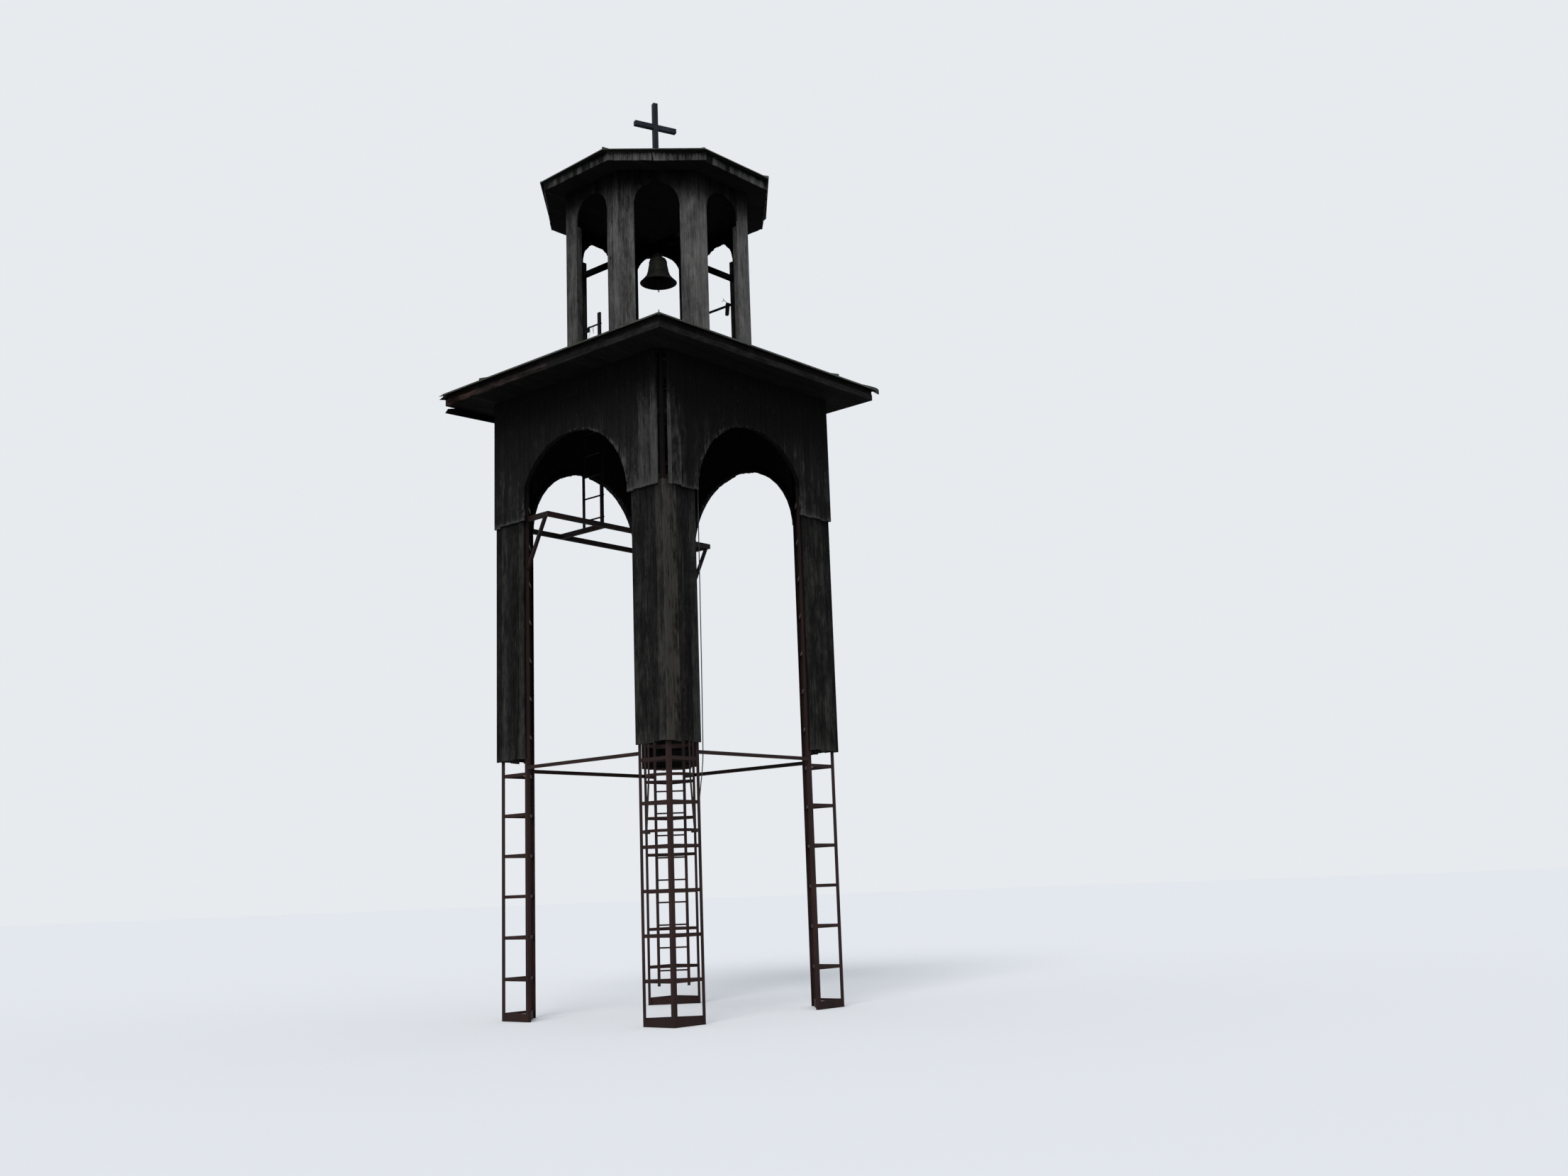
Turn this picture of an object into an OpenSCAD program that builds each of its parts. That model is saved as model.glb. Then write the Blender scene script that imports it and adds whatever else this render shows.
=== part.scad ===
// Free-standing bell tower: four lattice steel legs, boarded arches, a square roof, an open octagonal belfry.
// Millimetres, +Z up. The origin is at ground level on the axis of the tower.
// The front is the -Y side, and the left is the -X side.

/* [Steel legs] */
// Side of the square through the outer heels of the four corner posts
side = 3000; // [2600:10:3600]
// Width of each leg along a side, heel to heel
leg_w = 500; // [420:5:600]
// Distance from one rung of a leg to the next
rung_gap = 500; // [400:10:600]
// Flange of the corner posts, which are steel angles
corner_angle = 50; // [40:1:70]
// Flange of the end posts, which are steel angles
end_angle = 45; // [35:1:60]
// Thickness of the angle flanges
angle_t = 5; // [4:0.5:8]
// Height of a rung, which is a flat bar
rung_h = 40; // [30:1:60]
// Thickness of a rung
rung_t = 8; // [6:1:14]
// Height of the plates round the foot of each leg
kick_h = 100; // [60:5:200]
// Height of the concrete inside each foot
footing_h = 70; // [30:5:200]
// Height of the centre of the tie bars between the legs
tie_z = 3080; // [2700:10:3250]
// Flange of the tie bars, which are steel angles
tie_w = 45; // [30:1:55]

/* [Boarding] */
// Thickness of every boarding
board_t = 25; // [15:1:30]
// Depth of the battens between the posts and the leg boarding
batten_d = 20; // [10:1:30]
// Height of a batten
batten_h = 60; // [40:5:100]
// Distance by which the leg boarding stops short of the leg's inner edge
board_back = 2; // [0:1:40]
// Level of the lower ends of the leg boarding
cladding_z = 3190; // [3150:10:3400]
// Distance of the lower edge of the arch walls below the eave boards
skirt_drop = 1680; // [1320:10:2120]
// Overlap of the arch walls over the leg boarding
skirt_lap = 50; // [30:5:100]
// Distance of the crown of the arches below the eave boards
arch_drop = 698; // [620:1:820]
// Radius of the front and left arches
near_arch_r = 1020; // [960:5:1040]
// Distance of their middles from the middle of the wall, away from the near corner
near_arch_shift = 55; // [0:5:80]
// Radius of the right and back arches
far_arch_r = 950; // [860:5:960]
// Distance from the middle of a wall at which its arch runs straight down
arch_half = 955; // [900:5:980]
// Width of the rib behind the edge of each arch
rib_w = 50; // [30:1:80]
// Gap in the boarding at the near corner, along each side, where the corner boards are missing
corner_gap = 90; // [40:5:140]

/* [Square roof] */
// Level of the underside of the eave boards, which carry everything above them
soffit_z = 7920; // [7700:10:8100]
// Height of the steel floor frame under the eave boards
frame_h = 100; // [80:5:140]
// Width of the beams of the floor frame
frame_b = 50; // [40:5:80]
// Distance of the floor joists from the axis
joist_x = 600; // [560:10:640]
// Distance from the axis to the outer face of the fascia
fascia_x = 2017; // [1900:1:2200]
// Drop of the loose trim board below the back eave
trim_h = 110; // [100:1:130]
// Length of the loose trim board
trim_l = 1000; // [700:10:1400]
// Distance by which the roof sheet passes the fascia
drip = 43; // [20:1:100]
// Rise of the lower edge of the roof over the eave boards
eave_rise = 132; // [100:1:230]
// Thickness of the roof sheet with its sheathing
roof_t = 26; // [20:1:40]
// Pitch of both roofs
pitch = 20; // [12:1:24]
// Distance of the standing seams from the middle of each roof side
seam_x = 1160; // [1100:10:1400]
// Height of the standing seams and hip folds
seam_h = 25; // [15:1:40]
// Thickness of the standing seams and hip folds
seam_t = 12; // [8:1:20]
// Size of the ladder hatch along X
hatch_x = 460; // [420:10:460]
// Size of the ladder hatch along Y
hatch_y = 520; // [500:10:540]

/* [Belfry] */
// Distance across the flats of the octagonal belfry
belfry_af = 2420; // [2380:10:2480]
// Thickness of the belfry boarding
wall_t = 22; // [15:1:28]
// Depth of the boxed columns
column_d = 90; // [70:5:110]
// Width of each opening
open_w = 590; // [560:5:600]
// Rise of the sill of the openings over the eave boards
sill_rise = 500; // [480:10:680]
// Rise of the start of the round heads over the eave boards
spring_rise = 2315; // [2280:5:2380]
// Distance of the tops of the boxed columns below the start of the round heads
column_drop = 65; // [45:5:135]
// Rise of the belfry eave over the eave boards of the square roof
belfry_rise = 2770; // [2720:5:2880]
// Clearance between the belfry boarding and the eave over it
fit = 0.2; // [0.1:0.1:0.5]
// Distance across the flats of the belfry fascia
belfry_fascia_af = 2980; // [2850:10:3050]
// Distance by which the belfry roof passes its fascia
belfry_drip = 35; // [20:1:60]
// Height of the belfry fascia
belfry_fascia_h = 125; // [100:5:150]
// Size of the bar of the cross
cross_bar = 65; // [50:1:80]
// Height of the cross over the top of the roof
cross_h = 908.6; // [800:0.1:1000]
// Distance of the middle of the arms below the top of the cross
arm_drop = 355; // [300:5:400]
// Length of the arms from end to end
arm_l = 620; // [500:10:800]
// Turn of the cross about the axis, in degrees
cross_turn = -20; // [-45:1:0]

/* [Bell] */
// Diameter of the mouth of the bell
bell_d = 489; // [440:1:500]
// Rise of the lip of the bell over the eave boards
lip_rise = 1489; // [1460:1:1510]
// Height of the bell from the lip to the top of the shoulder
bell_h = 342; // [320:1:360]
// Diameter of the bell at the top of the waist
shoulder_d = 226; // [200:1:250]
// Radius of the rounded shoulder
shoulder_r = 38; // [25:1:45]
// Widening of the waist for each millimetre downwards
waist_taper = 0.18; // [0.1:0.01:0.25]
// Height of the flare over the lip
mouth_h = 125; // [100:1:150]
// Thickness of the bell at the lip
lip_t = 20; // [14:1:26]
// Thickness of the bell at the waist
waist_t = 12; // [8:1:16]
// Height by which the mouldings stand out
bead = 4; // [2:0.5:6]
// Diameter of the crown
crown_d = 120; // [90:1:130]
// Height of the crown over the shoulder
crown_h = 56; // [40:1:70]
// Distance from the axis of the bell to the eye of the ringing lug
lug_l = 140; // [110:1:160]
// Distance of the clapper pin below the top of the shoulder
pin_drop = 63; // [50:1:80]
// Diameter of the clapper pin
pin_d = 10; // [8:1:14]
// Clearance of the clapper eye round its pin
pin_gap = 0.3; // [0.2:0.05:0.5]
// Diameter of the clapper ball
ball_d = 56; // [40:1:64]
// Distance from the clapper pin to the ball
ball_drop = 244; // [220:1:260]
// Distance from the clapper pin to the end of the clapper ring
clapper_l = 409; // [390:1:430]
// Size of the two crossed beams that carry the bell
bell_beam = 65; // [50:1:75]
// Distance of each bell beam from the axis of the tower
bell_beam_d = 380; // [350:1:400]
// Rise of the lower bell beam over the eave boards
bell_beam_rise = 1937.5; // [1920:0.5:1980]
// Diameter of the rod across the right opening
rod_d = 34; // [20:1:40]
// Rise of the rod over the eave boards
rod_rise = 1643; // [1380:1:1780]
// Height of the clamp on the rod
clamp_h = 165; // [120:5:200]
// Lean of the clamp, in degrees
clamp_lean = 8; // [0:1:15]

/* [Ladders and landing] */
// Distance from one ladder rung to the next
step = 300; // [250:5:320]
// Diameter of the ladder rungs
step_d = 22; // [18:1:28]
// Width of a rail of the lower ladder
rail_w = 40; // [30:1:50]
// Thickness of a ladder rail
rail_t = 25; // [20:1:30]
// Distance between the middles of the rails of the lower ladder
lower_w = 400; // [360:5:440]
// Distance of the lower ladder from the axis, along the diagonal
lower_d = 1600; // [1550:5:1650]
// Level of the foot of the lower ladder
lower_z0 = 250; // [150:10:400]
// Distance of the top of the lower ladder below the eave boards
lower_top_drop = 720; // [320:10:920]
// Level of the lowest rung of the lower ladder
lower_step_z = 455; // [420:5:500]
// Radius of the hoops of the safety cage
hoop_r = 330; // [300:5:360]
// Height of a hoop and width of a cage strip
hoop_h = 40; // [30:1:50]
// Thickness of the hoops and strips
hoop_t = 6; // [5:0.5:10]
// Level of the lowest straight hoop
hoop_z = 3050; // [2900:10:3150]
// Distance from one hoop to the next
hoop_gap = 750; // [600:10:850]
// Distance of the flared end of the cage below the lowest hoop
flare_h = 750; // [500:10:900]
// Growth of the radius at the flared end
flare_r = 50; // [20:5:80]
// Distance of the landing front beam from the axis
landing_y = 600; // [560:5:605]
// Distance of the middle of the landing beams below the eave boards
landing_drop = 1650; // [1620:5:1720]
// Height of a landing beam
landing_h = 65; // [50:1:80]
// Width of a landing beam
landing_b = 40; // [30:1:44]
// Drop of the knee braces below the landing
brace_drop = 690; // [600:10:1100]
// Thickness of the knee braces
brace_t = 36; // [25:1:45]
// Distance of the upper ladder from the axis, towards the left
upper_x = 500; // [470:5:510]
// Distance between the middles of the rails of the upper ladder
upper_w = 355; // [330:5:360]
// Width of the front rail of the upper ladder
front_rail_w = 50; // [30:1:60]
// Width of its slimmer back rail
back_rail_w = 30; // [24:1:50]
// Rise of the top of the upper ladder over the eave boards
upper_top_rise = 1336; // [1230:1:1480]
// Rise of the lowest rung of the upper ladder over the landing
upper_step_rise = 125; // [110:5:180]

/* [Rope] */
// Diameter of the bell rope
rope_d = 12; // [8:1:16]

/* [Hidden] */
$fn = 48;

steel = [0.29, 0.17, 0.16];
boards = [0.25, 0.23, 0.21];
pale_boards = [0.5, 0.48, 0.45];
sheet = [0.33, 0.36, 0.3];
concrete = [0.6, 0.58, 0.55];
bronze = [0.22, 0.24, 0.21];
rope_grey = [0.5, 0.5, 0.48];

half = side / 2;
skirt_z = soffit_z - skirt_drop;
arch_top = soffit_z - arch_drop;
eave_z = soffit_z + eave_rise;
sill_z = soffit_z + sill_rise;
spring_z = soffit_z + spring_rise;
column_z = spring_z - column_drop;
belfry_soffit_z = soffit_z + belfry_rise;
belfry_eave_z = belfry_soffit_z + belfry_fascia_h;
lip_z = soffit_z + lip_rise;
bell_beam_z = soffit_z + bell_beam_rise;
rod_z = soffit_z + rod_rise;
landing_z = soffit_z - landing_drop;
lower_z1 = soffit_z - lower_top_drop;
upper_z1 = soffit_z + upper_top_rise;
upper_step_z = landing_z + upper_step_rise;
frame_z = soffit_z - frame_h;
leg_top = frame_z;
batten_face = half + batten_d;
leg_face = batten_face + board_t;
arch_face = leg_face + board_t;
eave_x = fascia_x + drip;
fascia_in = fascia_x - board_t;
floor_z = soffit_z + board_t;
belfry_a = belfry_af / 2;
oct = tan(22.5);
column_in = belfry_a - column_d;
column_edge = open_w / 2;
belfry_fascia_a = belfry_fascia_af / 2;
belfry_roof_a = belfry_fascia_a + belfry_drip;
belfry_roof_rise = (belfry_roof_a - cross_bar) * tan(pitch);
belfry_roof_top = belfry_eave_z + board_t + belfry_roof_rise;
shoulder_z = lip_z + bell_h;
pin_z = shoulder_z - pin_drop;
bell_flare = (bell_d - shoulder_d) / 2 - waist_taper * (bell_h - shoulder_r);
cross_top = belfry_roof_top + cross_h;
arm_z = cross_top - arm_drop;
end_heel = half - leg_w;
rope_y = -half + angle_t / 2 + tie_w + rope_d / 2 + 2.5;
landing_z0 = landing_z - landing_h / 2;
landing_out = half - angle_t;
upper_y = joist_x + frame_b / 2 + front_rail_w / 2;
hoop_flats = 24;
cage_d = lower_d - sqrt(hoop_r * hoop_r - lower_w * lower_w / 4);

// Section of a steel angle with its heel at the origin and flanges along +X and +Y.
module angle_section(w) {
    polygon([[0, 0], [w, 0], [w, angle_t], [angle_t, angle_t], [angle_t, w], [0, w]]);
}

// A steel angle standing on its heel.
module angle_post(w, h) {
    linear_extrude(h) angle_section(w);
}

// Places a piece of the near leg at one of the four corners of the tower.
module at_corner(sx, sy) {
    mirror([sx > 0 ? 1 : 0, 0, 0])
        mirror([0, sy > 0 ? 1 : 0, 0])
            translate([-half, -half, 0])
                children();
}

// Turns a piece of the front by quarter turns: 0 front, 1 right, 2 back, 3 left.
module at_side(i) {
    rotate(90 * i) children();
}

// Turns a piece of the belfry front by eighth turns.
module at_face(i) {
    rotate(45 * i) children();
}

// The flat bars on the three sides of a leg at one level.
module leg_bars(z, h) {
    in = angle_t / 2;
    translate([in, in, z]) cube([rung_t, leg_w - 2 * in, h]);
    translate([in, in, z]) cube([leg_w - 2 * in, rung_t, h]);
    translate([leg_w / 2, leg_w / 2, z + h / 2])
        rotate(-45)
            cube([leg_w * sqrt(2) - 2 * angle_t, rung_t, h], center = true);
}

module leg(sx, sy) {
    color(steel) at_corner(sx, sy) {
        angle_post(corner_angle, leg_top);
        translate([0, leg_w, 0]) mirror([0, 1, 0]) angle_post(end_angle, leg_top);
        translate([leg_w, 0, 0]) mirror([1, 0, 0]) angle_post(end_angle, leg_top);
        leg_bars(0, kick_h);
        for (z = [rung_gap : rung_gap : leg_top - rung_h])
            leg_bars(z - rung_h / 2, rung_h);
    }
}

module footings() {
    in = angle_t / 2 + rung_t;
    far = leg_w - end_angle - rung_t - in;
    color(concrete)
        for (sx = [-1, 1], sy = [-1, 1])
            at_corner(sx, sy)
                linear_extrude(footing_h)
                    polygon([[in, in], [far, in], [in, far]]);
}

// The tie bars have their heels outside and at the top, so that they shed the rain.
module tie_bars() {
    color(steel)
        for (i = [0 : 3])
            at_side(i)
                translate([-end_heel, -half + angle_t / 2, tie_z + tie_w / 2])
                    rotate([90, 0, 90])
                        linear_extrude(2 * end_heel)
                            mirror([0, 1]) angle_section(tie_w);
}

// The L-shaped boarding of a leg, with the battens that hold it off the posts.
module leg_boards(sx, sy) {
    out = batten_d + board_t;
    run = leg_w - board_back;
    top = skirt_z + skirt_lap;
    color(boards) at_corner(sx, sy) {
        translate([-out, -out, cladding_z]) cube([board_t, run + out, top - cladding_z]);
        translate([-out, -out, cladding_z]) cube([run + out, board_t, top - cladding_z]);
        for (z = [cladding_z + batten_h : (top - cladding_z - 3 * batten_h) / 3 : top]) {
            translate([-batten_d - 1, -batten_d - 1, z]) cube([batten_d + 1, run, batten_h]);
            translate([-batten_d - 1, -batten_d - 1, z]) cube([run, batten_d + 1, batten_h]);
        }
    }
}

// Outline of an arch: round at the top, straight down where it would pass the leg. It grows for the rib.
module arch_outline(r, shift, grow = 0) {
    reach = arch_half + grow;
    intersection() {
        union() {
            translate([shift, arch_top - r]) circle(r = r + grow, $fn = 96);
            translate([shift - r - grow, 0]) square([2 * (r + grow), arch_top - r]);
        }
        translate([-reach, 0]) square([2 * reach, 2 * arch_top]);
    }
}

// The boarded wall of the front with its arch and the rib behind it, from x0 to x1.
module arch_wall(x0, x1, r, shift) {
    deep = leg_face - half;
    lap_z = skirt_z + skirt_lap + 10;
    b0 = max(x0, -half);
    b1 = min(x1, half);
    color(boards) difference() {
        union() {
            translate([x0, -arch_face, skirt_z]) cube([x1 - x0, board_t, soffit_z - skirt_z]);
            translate([0, -half, 0])
                rotate([90, 0, 0])
                    linear_extrude(deep + 1)
                        intersection() {
                            arch_outline(r, shift, rib_w);
                            translate([-side, lap_z]) square(2 * side);
                        }
            for (z = [lap_z, (lap_z + soffit_z) / 2, soffit_z - batten_h])
                translate([b0, -leg_face - 1, z]) cube([b1 - b0, deep + 1, batten_h]);
        }
        rotate([90, 0, 0]) linear_extrude(2 * side) arch_outline(r, shift);
    }
}

// The front wall ends short of the near corner, and its arch is cut larger.
module front_arch_wall() {
    arch_wall(corner_gap - arch_face, arch_face, near_arch_r, near_arch_shift);
}

// The left wall is the mirror image of the front wall across the near corner.
module left_arch_wall() {
    mirror([1, -1, 0]) front_arch_wall();
}

module right_arch_wall() {
    at_side(1) arch_wall(-leg_face, arch_face, far_arch_r, 0);
}

module back_arch_wall() {
    at_side(2) arch_wall(-leg_face, leg_face, far_arch_r, 0);
}

module floor_frame() {
    color(steel) {
        difference() {
            translate([-half, -half, frame_z]) cube([side, side, frame_h]);
            translate([-half + frame_b, -half + frame_b, frame_z - 1])
                cube([side - 2 * frame_b, side - 2 * frame_b, frame_h + 2]);
        }
        for (s = [-1, 1]) {
            translate([s * joist_x - frame_b / 2, -half + 1, frame_z]) cube([frame_b, side - 2, frame_h]);
            translate([-half + 1, s * joist_x - frame_b / 2, frame_z]) cube([side - 2, frame_b, frame_h]);
        }
    }
}

module eave_boards() {
    color(boards) difference() {
        translate([-fascia_in, -fascia_in, soffit_z]) cube([2 * fascia_in, 2 * fascia_in, board_t]);
        translate([-joist_x + frame_b / 2, joist_x + frame_b / 2, soffit_z - 1])
            cube([hatch_x, hatch_y, board_t + 2]);
    }
}

// Everything over a roof slope that rises from distance a in front of the axis, at level z.
module over_slope(a, z) {
    translate([-side, -a, z])
        rotate([pitch, 0, 0])
            translate([0, -side, 0])
                cube([2 * side, 3 * side, side]);
}

// What is left of the trim under the back eave: a board that ends at the left corner with a broken end.
module back_trim() {
    y = fascia_in - 2;
    color(boards)
        translate([0, y, soffit_z])
            rotate([90, 0, 0])
                linear_extrude(board_t - 3)
                    polygon([
                        [-fascia_x - 28, -trim_h], [-fascia_x + trim_l, -trim_h + 40],
                        [-fascia_x + trim_l, 0], [-fascia_x + 190, 0], [-fascia_x + 15, -trim_h + 66]
                    ]);
}

// One side of the fascia, mitred at the corners.
module fascia(i) {
    color(boards) at_side(i) difference() {
        translate([0, 0, soffit_z])
            linear_extrude(eave_z - soffit_z + 2 * drip)
                polygon([
                    [-fascia_x, -fascia_x], [fascia_x, -fascia_x],
                    [fascia_in, -fascia_in], [-fascia_in, -fascia_in]
                ]);
        over_slope(eave_x, eave_z);
    }
}

// The plan of one slope of the square roof, cut out round the belfry.
module slope_plan() {
    v = belfry_a / sqrt(2);
    polygon([
        [-eave_x, -eave_x], [eave_x, -eave_x], [v, -v],
        [belfry_a * oct, -belfry_a], [-belfry_a * oct, -belfry_a], [-v, -v]
    ]);
}

// A layer of a roof slope, t thick, at height d over the underside.
module slope_layer(d, t) {
    intersection() {
        linear_extrude(2 * soffit_z) slope_plan();
        translate([-side, -eave_x, eave_z])
            rotate([pitch, 0, 0])
                translate([0, -side, d]) cube([2 * side, 3 * side, t]);
    }
}

// One slope of the square roof with its two standing seams and the fold over the hip at its left.
module roof(i) {
    color(sheet) at_side(i) {
        slope_layer(0, roof_t);
        intersection() {
            slope_layer(1, roof_t + seam_h - 1);
            union() {
                for (s = [-1, 1])
                    translate([s * seam_x - seam_t / 2, -eave_x, 0])
                        cube([seam_t, eave_x - belfry_a, 2 * soffit_z]);
                rotate(45) translate([-2 * side, -seam_t, 0]) cube([4 * side, seam_t, 2 * soffit_z]);
            }
        }
    }
}

// Plan of one side of an octagonal ring, from apothem a0 in to apothem a1.
module ring_side(a0, a1) {
    polygon([[-a0 * oct, -a0], [a0 * oct, -a0], [a1 * oct, -a1], [-a1 * oct, -a1]]);
}

// One side of the belfry: outer boarding with a round-headed opening, and half of each boxed column.
module belfry_wall(i) {
    edge = column_edge;
    color(pale_boards) at_face(i) difference() {
        union() {
            translate([0, 0, floor_z])
                linear_extrude(belfry_soffit_z - floor_z - fit)
                    ring_side(belfry_a, belfry_a - wall_t);
            translate([0, 0, sill_z])
                linear_extrude(column_z - sill_z)
                    ring_side(belfry_a - 1, column_in);
        }
        translate([-edge, -2 * belfry_a, sill_z]) cube([open_w, 2 * belfry_a, spring_z - sill_z]);
        translate([0, 0, spring_z]) rotate([90, 0, 0]) cylinder(d = open_w, h = 2 * belfry_a);
        for (m = [0, 1])
            mirror([m, 0, 0])
                translate([0, 0, sill_z + wall_t])
                    linear_extrude(column_z - sill_z - 2 * wall_t)
                        polygon([
                            [edge + wall_t, -belfry_a + wall_t],
                            [(belfry_a - wall_t) * oct + 1, -belfry_a + wall_t],
                            [(column_in + wall_t) * oct + 1, -column_in - wall_t],
                            [edge + wall_t, -column_in - wall_t]
                        ]);
    }
}

// An upright octagon with its flats towards the sides and the diagonals.
module octagon(a, h) {
    rotate(22.5) cylinder(r = a / cos(22.5), h = h, $fn = 8);
}

// What lies over level z and under the eight slopes of the belfry roof, within apothem a.
module under_slopes(a, z) {
    difference() {
        translate([0, 0, z]) octagon(a, belfry_roof_a);
        for (i = [0 : 7])
            at_face(i) over_slope(belfry_roof_a, z);
    }
}

module belfry_eave() {
    color(pale_boards) difference() {
        translate([0, 0, belfry_soffit_z]) octagon(belfry_fascia_a, belfry_eave_z - belfry_soffit_z);
        translate([0, 0, belfry_soffit_z + board_t]) octagon(belfry_fascia_a - board_t, belfry_eave_z);
    }
}

module belfry_roof() {
    edge_z = belfry_eave_z + board_t;
    hip_a = belfry_roof_a / cos(22.5);
    hip_pitch = atan(tan(pitch) * cos(22.5));
    color(sheet) {
        difference() {
            union() {
                translate([0, 0, belfry_eave_z]) octagon(belfry_roof_a, board_t);
                under_slopes(belfry_roof_a, edge_z);
            }
            under_slopes(belfry_fascia_a - board_t, belfry_eave_z);
            translate([0, 0, belfry_roof_top]) cylinder(d = side, h = side);
        }
        for (i = [0 : 7])
            rotate(22.5 + 45 * i)
                translate([-hip_a, -seam_t / 2, edge_z])
                    rotate([0, -hip_pitch, 0])
                        translate([0, 0, -3])
                            cube([(hip_a - 2 * cross_bar) / cos(hip_pitch), seam_t, seam_h + 3]);
    }
}

module cross() {
    color(bronze) rotate(cross_turn) {
        translate([-cross_bar / 2, -cross_bar / 2, belfry_roof_top])
            cube([cross_bar, cross_bar, cross_top - belfry_roof_top]);
        translate([-arm_l / 2, -cross_bar / 2, arm_z - cross_bar / 2]) cube([arm_l, cross_bar, cross_bar]);
    }
}

// Puts a piece round the axis of the bell, under the crossing of its beams.
module at_bell() {
    translate([-bell_beam_d, -bell_beam_d, 0]) children();
}

// Two beams between the columns, one across the other, with the block that holds the crown of the bell.
module bell_frame() {
    b = bell_beam;
    top = shoulder_z + crown_h;
    color(steel) {
        translate([-column_in, -bell_beam_d - b / 2, bell_beam_z]) cube([2 * column_in, b, b]);
        translate([-bell_beam_d - b / 2, -column_in, bell_beam_z + b - 1]) cube([b, 2 * column_in, b + 1]);
        at_bell() translate([-b, -b / 2, top]) cube([2 * b, b, bell_beam_z - top + 1]);
    }
}

// Outer radius of the bell at height h over the lip: a tapered waist that flares to the mouth.
function bell_r(h) =
    shoulder_d / 2
    + waist_taper * (bell_h - shoulder_r - h)
    + bell_flare * pow(max(0, 1 - h / mouth_h), 1.4);
// Wall of the bell at height h.
function bell_wall(h) = waist_t + (lip_t - waist_t) * pow(1 - h / bell_h, 4);
// Points of a moulding round the bell at height h.
function moulding(h) = [for (p = [[0, -1], [1, -0.5], [1, 0.5], [0, 1]])
    [bell_r(h + bead * p[1]) + bead * p[0], h + bead * p[1]]];
// Points of the rounded shoulder, from the waist up, for a wall that is t thinner than the bell.
function shoulder(t) = [for (a = [0 : 15 : 90])
    [shoulder_d / 2, bell_h] - shoulder_r * [1, 1] + (shoulder_r - t) * [cos(a), sin(a)]];

module bell() {
    waist = bell_h - shoulder_r;
    outer = concat(
        [for (i = [0 : 5]) [bell_r(i / 6 * mouth_h), i / 6 * mouth_h]],
        moulding(mouth_h - 2 * bead), moulding(mouth_h + 2 * bead),
        moulding(waist - 6 * bead), moulding(waist - 2 * bead),
        shoulder(0)
    );
    inner = concat(
        [for (i = [0 : 8]) [bell_r(i / 8 * mouth_h) - bell_wall(i / 8 * mouth_h), i / 8 * mouth_h]],
        shoulder(waist_t)
    );
    color(bronze) at_bell() {
        translate([0, 0, lip_z]) rotate_extrude() polygon(concat(
            outer, [[0, bell_h], [0, bell_h - waist_t]], [for (i = [len(inner) - 1 : -1 : 0]) inner[i]]
        ));
        translate([0, 0, shoulder_z - 1]) cylinder(d = crown_d, h = crown_h + 1);
        ringing_lug();
        for (s = [-1, 1])
            translate([s * 15 - 4, -10, pin_z - 14]) cube([8, 20, pin_drop + 8]);
        translate([0, 0, pin_z]) rotate([0, 90, 0]) cylinder(d = pin_d, h = 38, center = true);
    }
}

// A plate on the crown with an eye for the ringing rope, towards the left leg.
module ringing_lug() {
    h = crown_h - 10;
    translate([0, 0, shoulder_z + 2])
        rotate([90, 0, 135])
            linear_extrude(14, center = true)
                difference() {
                    hull() {
                        square([1, h]);
                        translate([lug_l, h / 3]) circle(d = 2 * h / 3);
                    }
                    translate([lug_l, h / 3]) circle(d = 14);
                }
}

// The clapper hangs from its pin and swings about the X direction.
module clapper() {
    eye = pin_d + 16;
    rod = 14;
    ring_r = 16;
    color(bronze) at_bell() {
        difference() {
            union() {
                translate([0, 0, pin_z]) rotate([0, 90, 0]) cylinder(d = eye, h = 16, center = true);
                translate([0, 0, pin_z - ball_drop]) cylinder(d = rod, h = ball_drop - eye / 2 + 2);
            }
            translate([0, 0, pin_z])
                rotate([0, 90, 0]) cylinder(d = pin_d + 2 * pin_gap, h = eye, center = true);
        }
        translate([0, 0, pin_z - ball_drop]) sphere(d = ball_d);
        translate([0, 0, pin_z - clapper_l + 2 * ring_r - 6])
            cylinder(d = rod, h = clapper_l - 2 * ring_r + 6 - ball_drop);
        translate([0, 0, pin_z - clapper_l + ring_r])
            rotate([90, 0, 0]) rotate_extrude() translate([ring_r - 4, 0]) circle(d = 8);
    }
}

// The rod across the right opening, with a clamp that hangs on it.
module belfry_rod() {
    color(steel) translate([belfry_a - column_d / 2, 0, rod_z]) {
        rotate([90, 0, 0]) cylinder(d = rod_d, h = open_w, center = true);
        translate([0, -open_w / 3, 0])
            rotate([clamp_lean, 0, 0])
                difference() {
                    translate([-rod_d / 2 - 8, -rod_d, -clamp_h + rod_d / 2 + 12])
                        cube([rod_d + 16, 2 * rod_d, clamp_h]);
                    translate([-rod_d, -rod_d / 2, -clamp_h]) cube([2 * rod_d, rod_d, clamp_h - rod_d]);
                }
    }
}

// An upright rail of a ladder in the plane of X and Z, with its middle at x.
module rail(x, w, z0, z1) {
    translate([x - w / 2, -rail_t / 2, z0]) cube([w, rail_t, z1 - z0]);
}

// The rungs of a ladder in the plane of X and Z, from x0 to x1.
module rungs(x0, x1, z0, z1) {
    for (z = [z0 : step : z1 - step_d])
        translate([x0, 0, z]) rotate([0, 90, 0]) cylinder(d = step_d, h = x1 - x0);
}

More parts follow.
